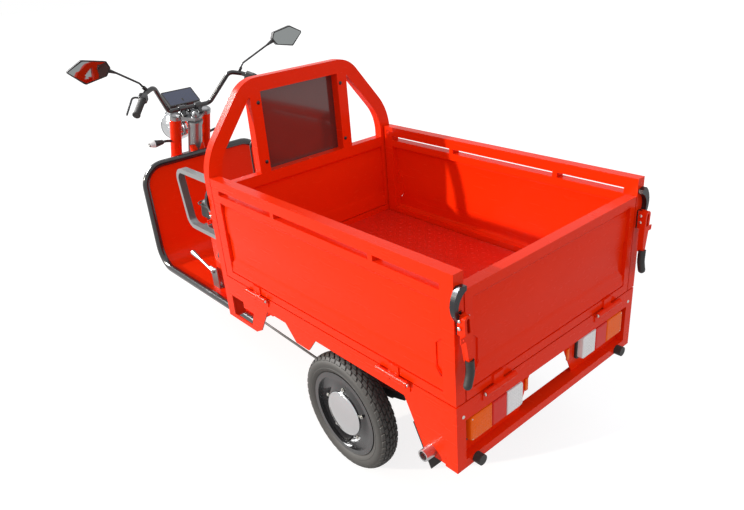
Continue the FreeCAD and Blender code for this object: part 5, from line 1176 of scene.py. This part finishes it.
@dataclass
class TailLamp(SubAssembly):
    """Both tail lamps: a rubber gasket, three lenses, their screws and their ribs."""

    LENGTH = 252 * MM
    HEIGHT = 90 * MM
    LIP = 6 * MM
    GASKET = 9 * MM
    CORNER = 12 * MM
    JOINTS = (0.0, 0.40, 0.68, 1.0)
    LENSES = ("amber", "lens_red", "lens_clear")

    def slab(self, shapes: Shapes, centre: Vector, width: float, height: float, depths: Sequence[float],
             shrinks: Sequence[float], material: int) -> None:
        """Add a rounded block in the lamp's plane.

        Args:
            shapes: The shapes that take it.
            centre: The middle of its seat.
            width: Its width.
            height: Its height.
            depths: Where along X each outline is.
            shrinks: How far each outline is drawn in.
            material: Material index of the faces.
        """
        rings = []
        for depth, shrink in zip(depths, shrinks):
            ring = rounded(width - 2 * shrink, height - 2 * shrink, self.CORNER - shrink * 0.6)
            rings.append([centre + Vector((depth, y, z)) for y, z in ring])
        shapes.loft(rings, material=material)

    def lens(self, shapes: Shapes, centre: Vector, start: float, end: float, side: float,
             material: int) -> None:
        """Add one lens, its share of the rounded body, with a bevelled front.

        Args:
            shapes: The shapes that take it.
            centre: The middle of the lamp's seat.
            start: Where it starts, as a share of the lamp from its outer end.
            end: Where it ends.
            side: 1 on the left, -1 on the right.
            material: Material index of the faces.
        """
        body = rounded(self.LENGTH, self.HEIGHT, self.CORNER, 5)
        half = self.LENGTH / 2
        low, high = half - end * self.LENGTH + 0.5 * MM, half - start * self.LENGTH - 0.5 * MM
        rings = []
        for depth, shrink in ((0.0, 0.0), (-24 * MM, 0.0), (-28 * MM, 1.2 * MM), (-30 * MM, 4 * MM)):
            ring = []
            for y, z in body:
                scale = 1.0 - shrink / (self.HEIGHT / 2)
                inside = min(max(y, low), high)
                middle = (low + high) / 2
                reach = (high - low) / 2
                pulled = middle + (inside - middle) * (1.0 - shrink / reach)
                ring.append(centre + Vector((depth, side * pulled, z * scale)))
            rings.append(ring)
        shapes.loft(rings, material=material)

    def ribs(self, shapes: Shapes, centre: Vector, start: float, end: float, side: float,
             material: int) -> None:
        """Add raised prisms on a lens's face.

        Args:
            shapes: The shapes that take them.
            centre: The middle of the lamp's seat.
            start: Where the lens starts, as a share of the lamp from its outer end.
            end: Where it ends.
            side: 1 on the left, -1 on the right.
            material: Material index of the faces.
        """
        rows, columns = 7, max(int((end - start) * 22), 3)
        low, high = (0.5 - end) * self.LENGTH + 9 * MM, (0.5 - start) * self.LENGTH - 9 * MM
        for column in range(columns):
            y = low + (high - low) * column / (columns - 1)
            for row in range(rows):
                z = (row / (rows - 1) - 0.5) * (self.HEIGHT - 24 * MM)
                at = centre + Vector((-30 * MM, side * y, z))
                shapes.lathe([(-0.5 * MM, 4.2 * MM), (0.9 * MM, 2.6 * MM), (1.1 * MM, 0.8 * MM)],
                             at, Vector((-1.0, 0.0, 0.0)), 6, material)

    def build(self) -> None:
        """Build the two lamps as one piece each."""
        low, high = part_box("tail_lamps")
        face = high.x
        for side in Side:
            sign = float(side.value)
            centre = Vector((face, sign * (high.y - self.LIP - self.LENGTH / 2), (low.z + high.z) / 2))
            shapes = Shapes()
            self.slab(shapes, centre, self.LENGTH + 2 * self.LIP, self.HEIGHT + 2 * self.LIP,
                      (0.0, -self.GASKET + 2 * MM, -self.GASKET), (0.0, 0.0, 1.5 * MM), 0)
            for index, (start, end) in enumerate(zip(self.JOINTS, self.JOINTS[1:])):
                self.lens(shapes, centre, start, end, sign, index + 1)
                if index != 1:
                    self.ribs(shapes, centre, start, end, sign, index + 1)
            for y in (-1, 1):
                for z in (-1, 1):
                    at = centre + Vector((-29 * MM, y * (self.LENGTH / 2 - 9 * MM),
                                          z * (self.HEIGHT / 2 - 9 * MM)))
                    shapes.dome(at, Vector((-1.0, 0.0, 0.0)), 3.6 * MM, 1.6 * MM, 4)
            replaced = ("tail_lamps",) if side is Side.LEFT else ()
            self.shop.fit(f"tail_lamp_{side.word}", shapes.mesh,
                          ("rubber", *self.LENSES, "zinc"), self.shop.chassis, replaced, 30.0)


@dataclass
class Latch(SubAssembly):
    """What a red claw latch has in other materials: rubber grip, dark claw and plate, rivets.

    Attributes:
        name: The piece's name.
        body: The body that carries it.
        place: The latch's pivot on the face that carries it.
        facing: Which way along X that face looks.
        side: Which side it is on.
    """

    name: str
    body: str
    place: Vector
    facing: float
    side: Side

    PROUD = 0.5
    LEAN = math.radians(4.0)

    def local(self, x: float, y: float, z: float, lean: bool = False) -> Vector:
        """A point near the latch.

        Args:
            x: Millimetres out of the face.
            y: Millimetres outward.
            z: Millimetres above the pivot.
            lean: Whether it leans with the lever.

        Returns:
            The point in the frame.
        """
        if lean:
            y, z = (y * math.cos(self.LEAN) + z * math.sin(self.LEAN),
                    z * math.cos(self.LEAN) - y * math.sin(self.LEAN))
        return self.place + Vector((self.facing * x, self.side.value * y, z)) * MM

    def grip(self, shapes: Shapes) -> None:
        """Add the rubber sleeve, ribbed where the fingers go.

        Args:
            shapes: The shapes that take it.
        """
        path = [(31, 0, -110), (31, 0, -130), (31, 0.5, -146), (31, 3, -158), (31, 9, -174),
                (31, 15.6, -190)]
        fine, radii = [], []
        for (x0, y0, z0), (x1, y1, z1) in zip(path, path[1:]):
            for step in range(5):
                share = step / 5
                fine.append(self.local(x0 + (x1 - x0) * share, y0 + (y1 - y0) * share,
                                       z0 + (z1 - z0) * share, True))
                radii.append((13.0 - 0.4 * (step % 2)) * MM)
        end = self.local(*path[-1], True)
        run = (end - fine[-1]).normalized()
        for angle in (0.0, 25.0, 50.0, 70.0, 84.0):
            turn = math.radians(angle)
            fine.append(end + run * 12.8 * MM * math.sin(turn))
            radii.append(12.8 * MM * math.cos(turn))
        shapes.tube(fine, radii, 20, 0)

    def claw(self, shapes: Shapes) -> None:
        """Add the crescent claw, with a slightly proud skin.

        Args:
            shapes: The shapes that take it.
        """
        proud = self.PROUD
        at = -0.2 + proud
        outer = arc(self.local(at, 9 + proud, 4.5 - proud), self.local(at, 33 + proud, 57),
                    self.local(at, 8.25 + proud, 114 + proud))
        inner = arc(self.local(at, -16.5 - proud, 97.5 - proud), self.local(at, 16.5 - proud, 57),
                    self.local(at, -4.5 - proud, 4.5 - proud))
        outline = outer + [self.local(at, -16.5 - proud, 109.5 + proud)] + inner
        run = Vector((self.facing * (15.7 + 2 * proud) * MM, 0.0, 0.0))
        shapes.plate(outline, run, 1)

    def rivets(self, shapes: Shapes) -> None:
        """Add pins through the ears and the channel.

        Args:
            shapes: The shapes that take it.
        """
        for height in (-4.5, 19.0):
            for side in (-1.0, 1.0):
                at = self.local(19.0, side * 20.0, height)
                axis = Vector((0.0, side * self.side.value, 0.0))
                shapes.dome(at, axis, 5.4 * MM, 2.4 * MM, 2)

    def build(self) -> None:
        """Build the latch's dressing."""
        shapes = Shapes()
        self.grip(shapes)
        self.claw(shapes)
        self.rivets(shapes)
        plate = [self.local(0.0, -11.6, -32.6), self.local(4.6, 11.6, 32.6)]
        low = Vector([min(a, b) for a, b in zip(*plate)])
        high = Vector([max(a, b) for a, b in zip(*plate)])
        shapes.box(low, high, 0.8 * MM, 1)
        self.shop.fit(self.name, shapes.mesh, ("rubber", "claw", "zinc"), self.body)


@dataclass
class LoadFloor(SubAssembly):
    """Raised treads over the load floor, alternately leaning left and right."""

    PITCH = 31 * MM
    LENGTH = 9 * MM
    WIDTH = 3.4 * MM
    HEIGHT = 1.4 * MM
    EDGE = 24 * MM

    def build(self) -> None:
        """Build all the treads as one piece."""
        low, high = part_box("bed_floor")
        shapes = Shapes()
        columns = int((high.x - low.x - 2 * self.EDGE) / self.PITCH)
        rows = int((high.y - low.y - 2 * self.EDGE) / self.PITCH)
        for column in range(columns + 1):
            for row in range(rows + 1):
                lean = math.radians(45.0 if (column + row) % 2 else -45.0)
                along = Vector((math.cos(lean), math.sin(lean), 0.0))
                across = Vector((-along.y, along.x, 0.0))
                centre = Vector((low.x + self.EDGE + column * self.PITCH,
                                 low.y + self.EDGE + row * self.PITCH, high.z - 0.1 * MM))
                base = [centre + along * self.LENGTH, centre + across * self.WIDTH,
                        centre - along * self.LENGTH, centre - across * self.WIDTH]
                lift = Vector((0.0, 0.0, self.HEIGHT))
                top = [centre + (point - centre) * 0.55 + lift for point in base]
                shapes.loft([base, top])
        self.shop.fit("floor_treads", shapes.mesh, ("red_floor",), self.shop.chassis,
                      smooth_deg=60.0)


@dataclass
class Window(SubAssembly):
    """The bolts that hold the tinted pane to its posts."""

    SIDE = 210 * MM
    HEIGHTS = (994 * MM, 1238 * MM)

    def build(self) -> None:
        """Build the four bolts, each with its nut on the pane's far side."""
        low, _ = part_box("headboard")
        _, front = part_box("pane")
        shapes = Shapes()
        for side in Side:
            for height in self.HEIGHTS:
                place = Vector((low.x, side.value * self.SIDE, height))
                shapes.dome(place, Vector((-1.0, 0.0, 0.0)), 8 * MM, 4.5 * MM)
                nut = Vector((front.x, place.y, place.z))
                shapes.bolt(nut, Vector((1.0, 0.0, 0.0)), 6 * MM)
        self.shop.fit("pane_bolts", shapes.mesh, ("plastic",), self.shop.chassis)


@dataclass
class Hinges(SubAssembly):
    """Bright pin ends of the gates' hinges."""

    PIN_RADIUS = 5 * MM
    REACH = 72 * MM
    AXIS_OUT = 12 * MM
    HEIGHT = 568 * MM
    SIDE_STATIONS = (256.0, 1036.0)
    TAIL_SIDE = 296 * MM

    def build(self) -> None:
        """Build the pin heads as one piece."""
        low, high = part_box("rear_frame")
        shapes = Shapes()
        for side in Side:
            for station in self.SIDE_STATIONS:
                at = self.shop.point(station, 0.0, 0.0)
                at.y, at.z = side.value * (high.y + self.AXIS_OUT), self.HEIGHT
                for end in (-1.0, 1.0):
                    axis = Vector((end, 0.0, 0.0))
                    shapes.dome(at + axis * self.REACH, axis, self.PIN_RADIUS * 1.35, 2.5 * MM)
            at = Vector((low.x - self.AXIS_OUT, side.value * self.TAIL_SIDE, self.HEIGHT))
            for end in (-1.0, 1.0):
                axis = Vector((0.0, end, 0.0))
                shapes.dome(at + axis * self.REACH, axis, self.PIN_RADIUS * 1.35, 2.5 * MM)
        self.shop.fit("hinge_pin_heads", shapes.mesh, ("zinc",), self.shop.chassis)


@dataclass
class RearDetails(SubAssembly):
    """Screws of the corner posts and wheel plates, and the reflectors."""

    POST_IN = 30 * MM
    BOLT_HEIGHT = 525 * MM
    PLATE_IN = (22 * MM, 70 * MM)
    REFLECTOR = Vector((14 * MM, 6 * MM, 46 * MM))
    REFLECTOR_SIDE = 116 * MM
    REFLECTOR_HEIGHT = 448 * MM

    def flap_screws(self, shapes: Shapes) -> None:
        """Add the screws that hold the rubber flaps on the plates behind the wheels.

        Args:
            shapes: The shapes that take it.
        """
        low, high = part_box("mud_flaps")
        run = Vector((low.x - high.x, 0.0, low.z - high.z))
        out = Vector((run.z, 0.0, -run.x)).normalized()
        for side in Side:
            for inward in self.PLATE_IN:
                at = Vector((high.x, side.value * (high.y - inward), high.z)) + run * 0.1
                shapes.dome(at - out * 0.5 * MM, out, 6 * MM, 3 * MM)

    def build(self) -> None:
        """Build the screws and the reflectors."""
        low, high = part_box("rear_frame")
        shapes = Shapes()
        back = Vector((-1.0, 0.0, 0.0))
        for side in Side:
            top = Vector((low.x, side.value * (high.y - self.POST_IN), self.BOLT_HEIGHT))
            shapes.dome(top, back, 6 * MM, 3 * MM)
        self.flap_screws(shapes)
        self.shop.fit("rear_screws", shapes.mesh, ("zinc",), self.shop.chassis)
        plate_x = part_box("tail_lamps")[1].x
        shapes = Shapes()
        for side in Side:
            centre = Vector((plate_x, side.value * self.REFLECTOR_SIDE, self.REFLECTOR_HEIGHT))
            size = self.REFLECTOR
            shapes.box(centre - Vector((size.y, size.x / 2, size.z / 2)),
                       centre + Vector((0.0, size.x / 2, size.z / 2)), 1.5 * MM)
        self.shop.fit("rear_reflectors", shapes.mesh, ("amber",), self.shop.chassis)


@dataclass
class Pad(SubAssembly):
    """A seat pad: a skin blown up by a cloth simulation, with piping and sewn channels.

    Attributes:
        node: The node of the model that it stands for.
        channels: How many sewn channels cross it.
        up: The way that its sitting face looks.
        bulge: How far its skin may swell, in metres.
        fill: How tight it is, from 0 to 1; not used.
    """

    node: str
    channels: int
    up: Vector
    bulge: float
    fill: float

    VOXEL = 7 * MM
    SHRINK = 5 * MM
    FRAMES = 20
    PIPING = 3.2 * MM
    CORNER = 34 * MM

    def outline(self, inset: float) -> list[tuple[float, float]]:
        """The pad's outline in its own plane, centred."""
        wide, tall = self.extent
        return rounded(wide - 2 * inset, tall - 2 * inset, self.CORNER - inset, 8)

    def place(self, across: float, along: float, depth: float) -> Vector:
        """A point of the pad.

        Args:
            across: Its place across the vehicle, from the pad's middle.
            along: Its place the other way in the pad's plane.
            depth: Its depth above the base.

        Returns:
            The point in the frame.
        """
        if self.up.z > 0.5:
            return Vector((self.middle.x + along, self.middle.y + across, self.low.z + depth))
        return Vector((self.low.x + depth, self.middle.y + across, self.middle.z + along))

    def body(self) -> bpy.types.Object:
        """Build the starting form: straight sides and a softly crowned face.

        Returns:
            The pad.
        """
        shapes = Shapes()
        rings = []
        thick = self.thick - 2 * self.SHRINK
        for share, inset in ((0.0, 8 * MM), (0.04, 2 * MM), (0.12, 0.0), (0.72, 0.0), (0.88, 4 * MM),
                             (0.97, 14 * MM), (1.0, 30 * MM)):
            ring = self.outline(self.SHRINK + inset)
            rings.append([self.place(y, x, self.SHRINK + share * thick) for y, x in ring])
        shapes.loft(rings)
        return self.shop.fit(self.node + "_cover", shapes.mesh, ("seat",), self.shop.chassis,
                             (self.node,), 60.0)

    def swell(self, pad: bpy.types.Object) -> None:
        """Remesh the pad, blow it up as cloth and cap how far its skin moves.

        Args:
            pad: The pad.
        """
        remesh = pad.modifiers.new("Remesh", "REMESH")
        remesh.mode, remesh.voxel_size = "VOXEL", self.VOXEL
        self.apply(pad)
        rest = [vert.co.copy() for vert in pad.data.vertices]
        cloth = pad.modifiers.new("Cloth", "CLOTH")
        settings = cloth.settings
        settings.use_pressure = True
        settings.uniform_pressure_force = 4.0
        settings.effector_weights.gravity = 0.0
        settings.tension_stiffness = settings.compression_stiffness = 12.0
        scene = bpy.context.scene
        for frame in range(1, self.FRAMES + 1):
            scene.frame_set(frame)
        self.apply(pad)
        scene.frame_set(1)
        for vert, start in zip(pad.data.vertices, rest):
            move = vert.co - start
            cap = self.bulge * self.ease(start)
            if move.length > cap:
                vert.co = start + move.normalized() * cap

    def ease(self, place: Vector) -> float:
        """How free the skin is at a place: least on the base that it rests on."""
        depth = place.z - self.low.z if self.up.z > 0.5 else place.x - self.low.x
        return 0.15 + 0.85 * min(max(depth / self.thick, 0.0), 1.0)

    def apply(self, pad: bpy.types.Object) -> None:
        """Apply the pad's modifiers to its mesh.

        Args:
            pad: The pad.
        """
        bpy.context.view_layer.update()
        depsgraph = bpy.context.evaluated_depsgraph_get()
        made = bpy.data.meshes.new_from_object(pad.evaluated_get(depsgraph))
        pad.modifiers.clear()
        pad.data = made

    def sew(self, pad: bpy.types.Object) -> None:
        """Press the sewn channels into the skin.

        Args:
            pad: The pad.
        """
        wide, _ = self.extent
        face = self.thick * 0.6
        for vert in pad.data.vertices:
            across = vert.co.y - self.middle.y
            along = vert.co.x - self.middle.x if self.up.z > 0.5 else vert.co.z - self.middle.z
            depth = vert.co.z - self.low.z if self.up.z > 0.5 else vert.co.x - self.low.x
            if depth < face:
                continue
            inside = max(abs(across) - wide * 0.36, 0.0)
            press = 0.0
            for channel in range(self.channels):
                at = (channel - (self.channels - 1) / 2) * self.extent[1] * 0.78 / self.channels
                press = max(press, math.exp(-((along - at) / (6 * MM)) ** 2))
            press *= math.exp(-(inside / (9 * MM)) ** 2)
            vert.co -= self.up * press * 5.5 * MM
        for polygon in pad.data.polygons:
            polygon.use_smooth = True
        smooth = pad.modifiers.new("Smooth", "SUBSURF")
        smooth.levels = smooth.render_levels = 1

    def piping(self) -> None:
        """The welt round the edge of the sitting face."""
        shapes = Shapes()
        ring = [self.place(y, x, self.thick * 0.80) for y, x in self.outline(2.2 * MM)]
        rings = []
        centre = sum(ring, Vector()) / len(ring)
        for index, point in enumerate(ring):
            run = (ring[(index + 1) % len(ring)] - ring[index - 1]).normalized()
            out = run.cross(self.up).normalized()
            if out.dot(point - centre) < 0:
                out = -out
            rings.append([point + (out * math.cos(turn) + self.up * math.sin(turn)) * self.PIPING
                          for turn in (math.tau * step / 10 for step in range(10))])
        shapes.loft(rings, closed=True)
        self.shop.fit(self.node + "_piping", shapes.mesh, ("rubber",), self.shop.chassis,
                      smooth_deg=80.0)

    def build(self) -> None:
        """Build the pad."""
        self.low, self.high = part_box(self.node)
        self.middle = (self.low + self.high) / 2
        size = self.high - self.low
        flat = self.up.z > 0.5
        self.extent = (size.y, size.x if flat else size.z)
        self.thick = size.z if flat else size.x
        pad = self.body()
        self.swell(pad)
        self.sew(pad)
        self.piping()


@dataclass
class Mirror(SubAssembly):
    """The glass of one mirror, set in its shell's recess."""

    side: Side

    LENGTH = 200 * MM
    HEIGHT = 108 * MM
    LIP = 6 * MM
    RECESS = 1.5 * MM
    OUTLINE = (
        (1.0, 0.24), (0.21, 1.0), (-0.87, 0.6), (-1.0, 0.0), (-0.75, -0.63), (0.28, -1.0))
    CENTRE = (545 * MM, 1346 * MM)

    def build(self) -> None:
        """Build the glass."""
        low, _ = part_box("mirrors")
        face = low.x + self.RECESS
        half_long, half_high = self.LENGTH / 2 - self.LIP, self.HEIGHT / 2 - self.LIP
        corners = [Vector((face, self.side.value * (self.CENTRE[0] + out * half_long),
                           self.CENTRE[1] + up * half_high)) for out, up in self.OUTLINE]
        ring = []
        for index, corner in enumerate(corners):
            before, after = corners[index - 1], corners[(index + 1) % len(corners)]
            first = corner + (before - corner).normalized() * 9 * MM
            last = corner + (after - corner).normalized() * 9 * MM
            ring += [first.lerp(corner, 0.5).lerp(corner.lerp(last, 0.5), share)
                     for share in (0.0, 0.5, 1.0)]
        centre = sum(ring, Vector()) / len(ring)
        shapes = Shapes()
        rings = []
        for depth, shrink in ((0.6 * MM, 1.0), (-0.3 * MM, 0.99), (-0.9 * MM, 0.6)):
            rings.append([centre + (point - centre) * shrink + Vector((depth, 0.0, 0.0))
                          for point in ring])
        shapes.loft(rings)
        self.shop.fit(f"mirror_glass_{self.side.word}", shapes.mesh, ("mirror",),
                      self.shop.fork, smooth_deg=20.0)


@dataclass
class Cockpit(SubAssembly):
    """Screen, headlight glass, signal tips and ribbed grips."""

    SCREEN = (168 * MM, 99 * MM)
    SCREEN_DROP = 1.5 * MM
    TILT = math.radians(34.0)
    DISPLAY = (2421.0, 0.0, 1095.0)
    LAMP_RADIUS = 71 * MM
    LAMP_BULGE = 13 * MM
    SIGNAL_RADIUS = 20 * MM
    SIGNAL_LENGTH = 78 * MM
    GRIP_LENGTH = 112 * MM
    BAR_TIP = (2100.0, 388.0, 1118.0)
    BAR_SHOULDER = (2213.0, 277.0, 1188.0)

    def screen(self) -> None:
        """The display's glass, a little under its frame."""
        centre = self.shop.point(*self.DISPLAY)
        along = Vector((math.cos(self.TILT), 0.0, math.sin(self.TILT)))
        across = Vector((0.0, 1.0, 0.0))
        up = Vector((-along.z, 0.0, along.x))
        rings = []
        for depth, shrink in ((-2.4 * MM, 0.0), (-self.SCREEN_DROP + 0.5 * MM, 0.0),
                              (-self.SCREEN_DROP + 0.8 * MM, 0.6 * MM)):
            ring = rounded(self.SCREEN[0] - 2 * shrink, self.SCREEN[1] - 2 * shrink, 4 * MM)
            rings.append([centre + across * y + along * x + up * depth for y, x in ring])
        shapes = Shapes()
        shapes.loft(rings)
        self.shop.fit("display_screen", shapes.mesh, ("screen",), self.shop.fork, smooth_deg=20.0)

    def headlight(self) -> None:
        """The lamp's glass, and the ring that holds it."""
        low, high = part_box("headlight")
        middle = Vector((high.x - self.LAMP_BULGE, 0.0, (low.z + high.z) / 2))
        ball = (self.LAMP_RADIUS ** 2 + self.LAMP_BULGE ** 2) / (2 * self.LAMP_BULGE)
        profile = [(-0.5 * MM, self.LAMP_RADIUS + 2 * MM)]
        for step in range(13):
            radius = self.LAMP_RADIUS * (1.0 - step / 12.5)
            along = self.LAMP_BULGE - ball + math.sqrt(ball ** 2 - radius ** 2)
            profile.append((along + 0.5 * MM, radius))
        shapes = Shapes()
        ahead = Vector((1.0, 0.0, 0.0))
        shapes.lathe(profile, middle, ahead, 72, 0)
        ring = [(-4 * MM, 85 * MM), (0.5 * MM, 86.5 * MM), (3.5 * MM, 84 * MM), (4 * MM, 76 * MM),
                (0.0, 73 * MM), (-1 * MM, 84 * MM)]
        shapes.lathe(ring, middle, ahead, 96, 1, ring=True)
        self.shop.fit("headlight_glass", shapes.mesh, ("lens_clear", "chrome"), self.shop.fork)

    def signals(self) -> None:
        """Clear tips of the turn signals."""
        low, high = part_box("front_signals")
        height = (low.z + high.z) / 2
        x = high.x - self.SIGNAL_RADIUS
        shapes = Shapes()
        for side in Side:
            axis = Vector((0.0, side.value, 0.0))
            base = Vector((x, side.value * (high.y - 0.4 * self.SIGNAL_LENGTH), height))
            profile = [(1 * MM, 20.2 * MM), (12 * MM, 17.4 * MM), (22 * MM, 14 * MM),
                       (29 * MM, 10.6 * MM), (31.2 * MM, 6 * MM), (31.6 * MM, 1.2 * MM)]
            shapes.lathe(profile, base, axis, 32, 0)
        self.shop.fit("signal_tips", shapes.mesh, ("lens_clear",), self.shop.fork)

    def grips(self) -> None:
        """Ribbed rubber sleeves with a collar at each end."""
        tip, shoulder = self.shop.point(*self.BAR_TIP), self.shop.point(*self.BAR_SHOULDER)
        run = (shoulder - tip).normalized()
        profile = [(-3 * MM, 6 * MM), (-3 * MM, 16 * MM), (-1 * MM, 19 * MM), (4 * MM, 19 * MM)]
        ribs = 17
        for rib in range(ribs):
            at = 8 * MM + (self.GRIP_LENGTH - 18 * MM) * rib / ribs
            profile += [(at, 15.6 * MM), (at + 1 * MM, 16.6 * MM), (at + 3.6 * MM, 16.6 * MM),
                        (at + 4.6 * MM, 15.6 * MM)]
        profile += [(self.GRIP_LENGTH - 7 * MM, 18.5 * MM), (self.GRIP_LENGTH, 18.5 * MM),
                    (self.GRIP_LENGTH, 12.5 * MM)]
        shapes = Shapes()
        for side in Side:
            place = Vector((tip.x, side.value * tip.y, tip.z))
            axis = Vector((run.x, side.value * run.y, run.z))
            shapes.lathe(profile, place, axis, 32)
        self.shop.fit("grip_sleeves", shapes.mesh, ("rubber",), self.shop.fork, ("grips",), 30.0)

    def build(self) -> None:
        """Build the cockpit's pieces."""
        self.screen()
        self.headlight()
        self.signals()
        self.grips()


NODE_FINISHES = {
    "red": ("tailgate_frame", "tailgate_panel", "bed_rim", "rear_frame", "hoop", "headboard",
            "seat_box", "footwell", "side_brackets", "fork_shrouds", "front_fender",
            "gate_left_frame", "gate_left_panel", "gate_right_frame", "gate_right_panel",
            "main_beams", "latch_left", "latch_right", "latches_front"),
    "red_floor": ("bed_floor",),
    "black": ("border_tube", "handlebar", "rim_front", "rim_rear_left", "rim_rear_right"),
    "satin": ("rear_axle", "foot_brake", "leaf_springs", "spring_hangers"),
    "grey": ("steering_head", "fork_crowns", "armrests", "park_lever"),
    "steel": ("pipe_stubs", "fork_legs"),
    "chrome": ("headlight", "hubcap_rear_left", "hubcap_rear_right"),
    "tyre": ("tyre_front", "tyre_rear_left", "tyre_rear_right"),
    "rubber": ("mud_flaps", "buffers", "grips"),
    "plastic": ("battery", "mirrors", "display", "front_signals"),
    "seat": ("seat_cushion", "seat_back"),
    "lens_red": ("tail_lamps",),
    "pane": ("pane",),
}


def dress_nodes(shop: Workshop) -> None:
    """Give every node of the model its finish.

    Args:
        shop: The workshop.
    """
    for key, nodes in NODE_FINISHES.items():
        for node in nodes:
            shop.dress(node, key)


def latches(shop: Workshop) -> list[Latch]:
    """The four latches: two on the side gates' rear posts, two on the hoop's legs.

    Args:
        shop: The workshop.

    Returns:
        The latches.
    """
    made = []
    for side in Side:
        rear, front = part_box(f"latch_{side.word}"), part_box("latches_front")
        made.append(Latch(shop, f"latch_parts_{side.word}", f"gate_{side.word}",
                          Vector((rear[1].x, side.value * LATCH_SIDE, LATCH_PIVOT)), -1.0, side))
        made.append(Latch(shop, f"latch_parts_front_{side.word}", shop.chassis,
                          Vector((front[0].x, side.value * FRONT_LATCH_SIDE, FRONT_LATCH_PIVOT)),
                          1.0, side))
    return made


def main() -> None:
    """Build the studio and every sub-assembly."""
    logging.basicConfig(level=logging.INFO, format="%(name)s %(message)s")
    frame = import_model()
    shop = Workshop(frame)
    Studio().build(shop)
    dress_nodes(shop)
    assemblies: list[SubAssembly] = [
        Wheel(shop, "front", "front_wheel", 1.0),
        Wheel(shop, "rear_left", "rear_wheel_left", 1.0),
        Wheel(shop, "rear_right", "rear_wheel_right", -1.0),
        TailLamp(shop), *latches(shop), LoadFloor(shop), Window(shop), Hinges(shop),
        RearDetails(shop), Mirror(shop, Side.LEFT), Mirror(shop, Side.RIGHT), Cockpit(shop),
        Pad(shop, "seat_cushion", 3, Vector((0.0, 0.0, 1.0)), 9 * MM, 0.8),
        Pad(shop, "seat_back", 2, Vector((1.0, 0.0, 0.0)), 6 * MM, 0.8),
    ]
    for assembly in assemblies:
        assembly.build()


if __name__ == "__main__":
    main()
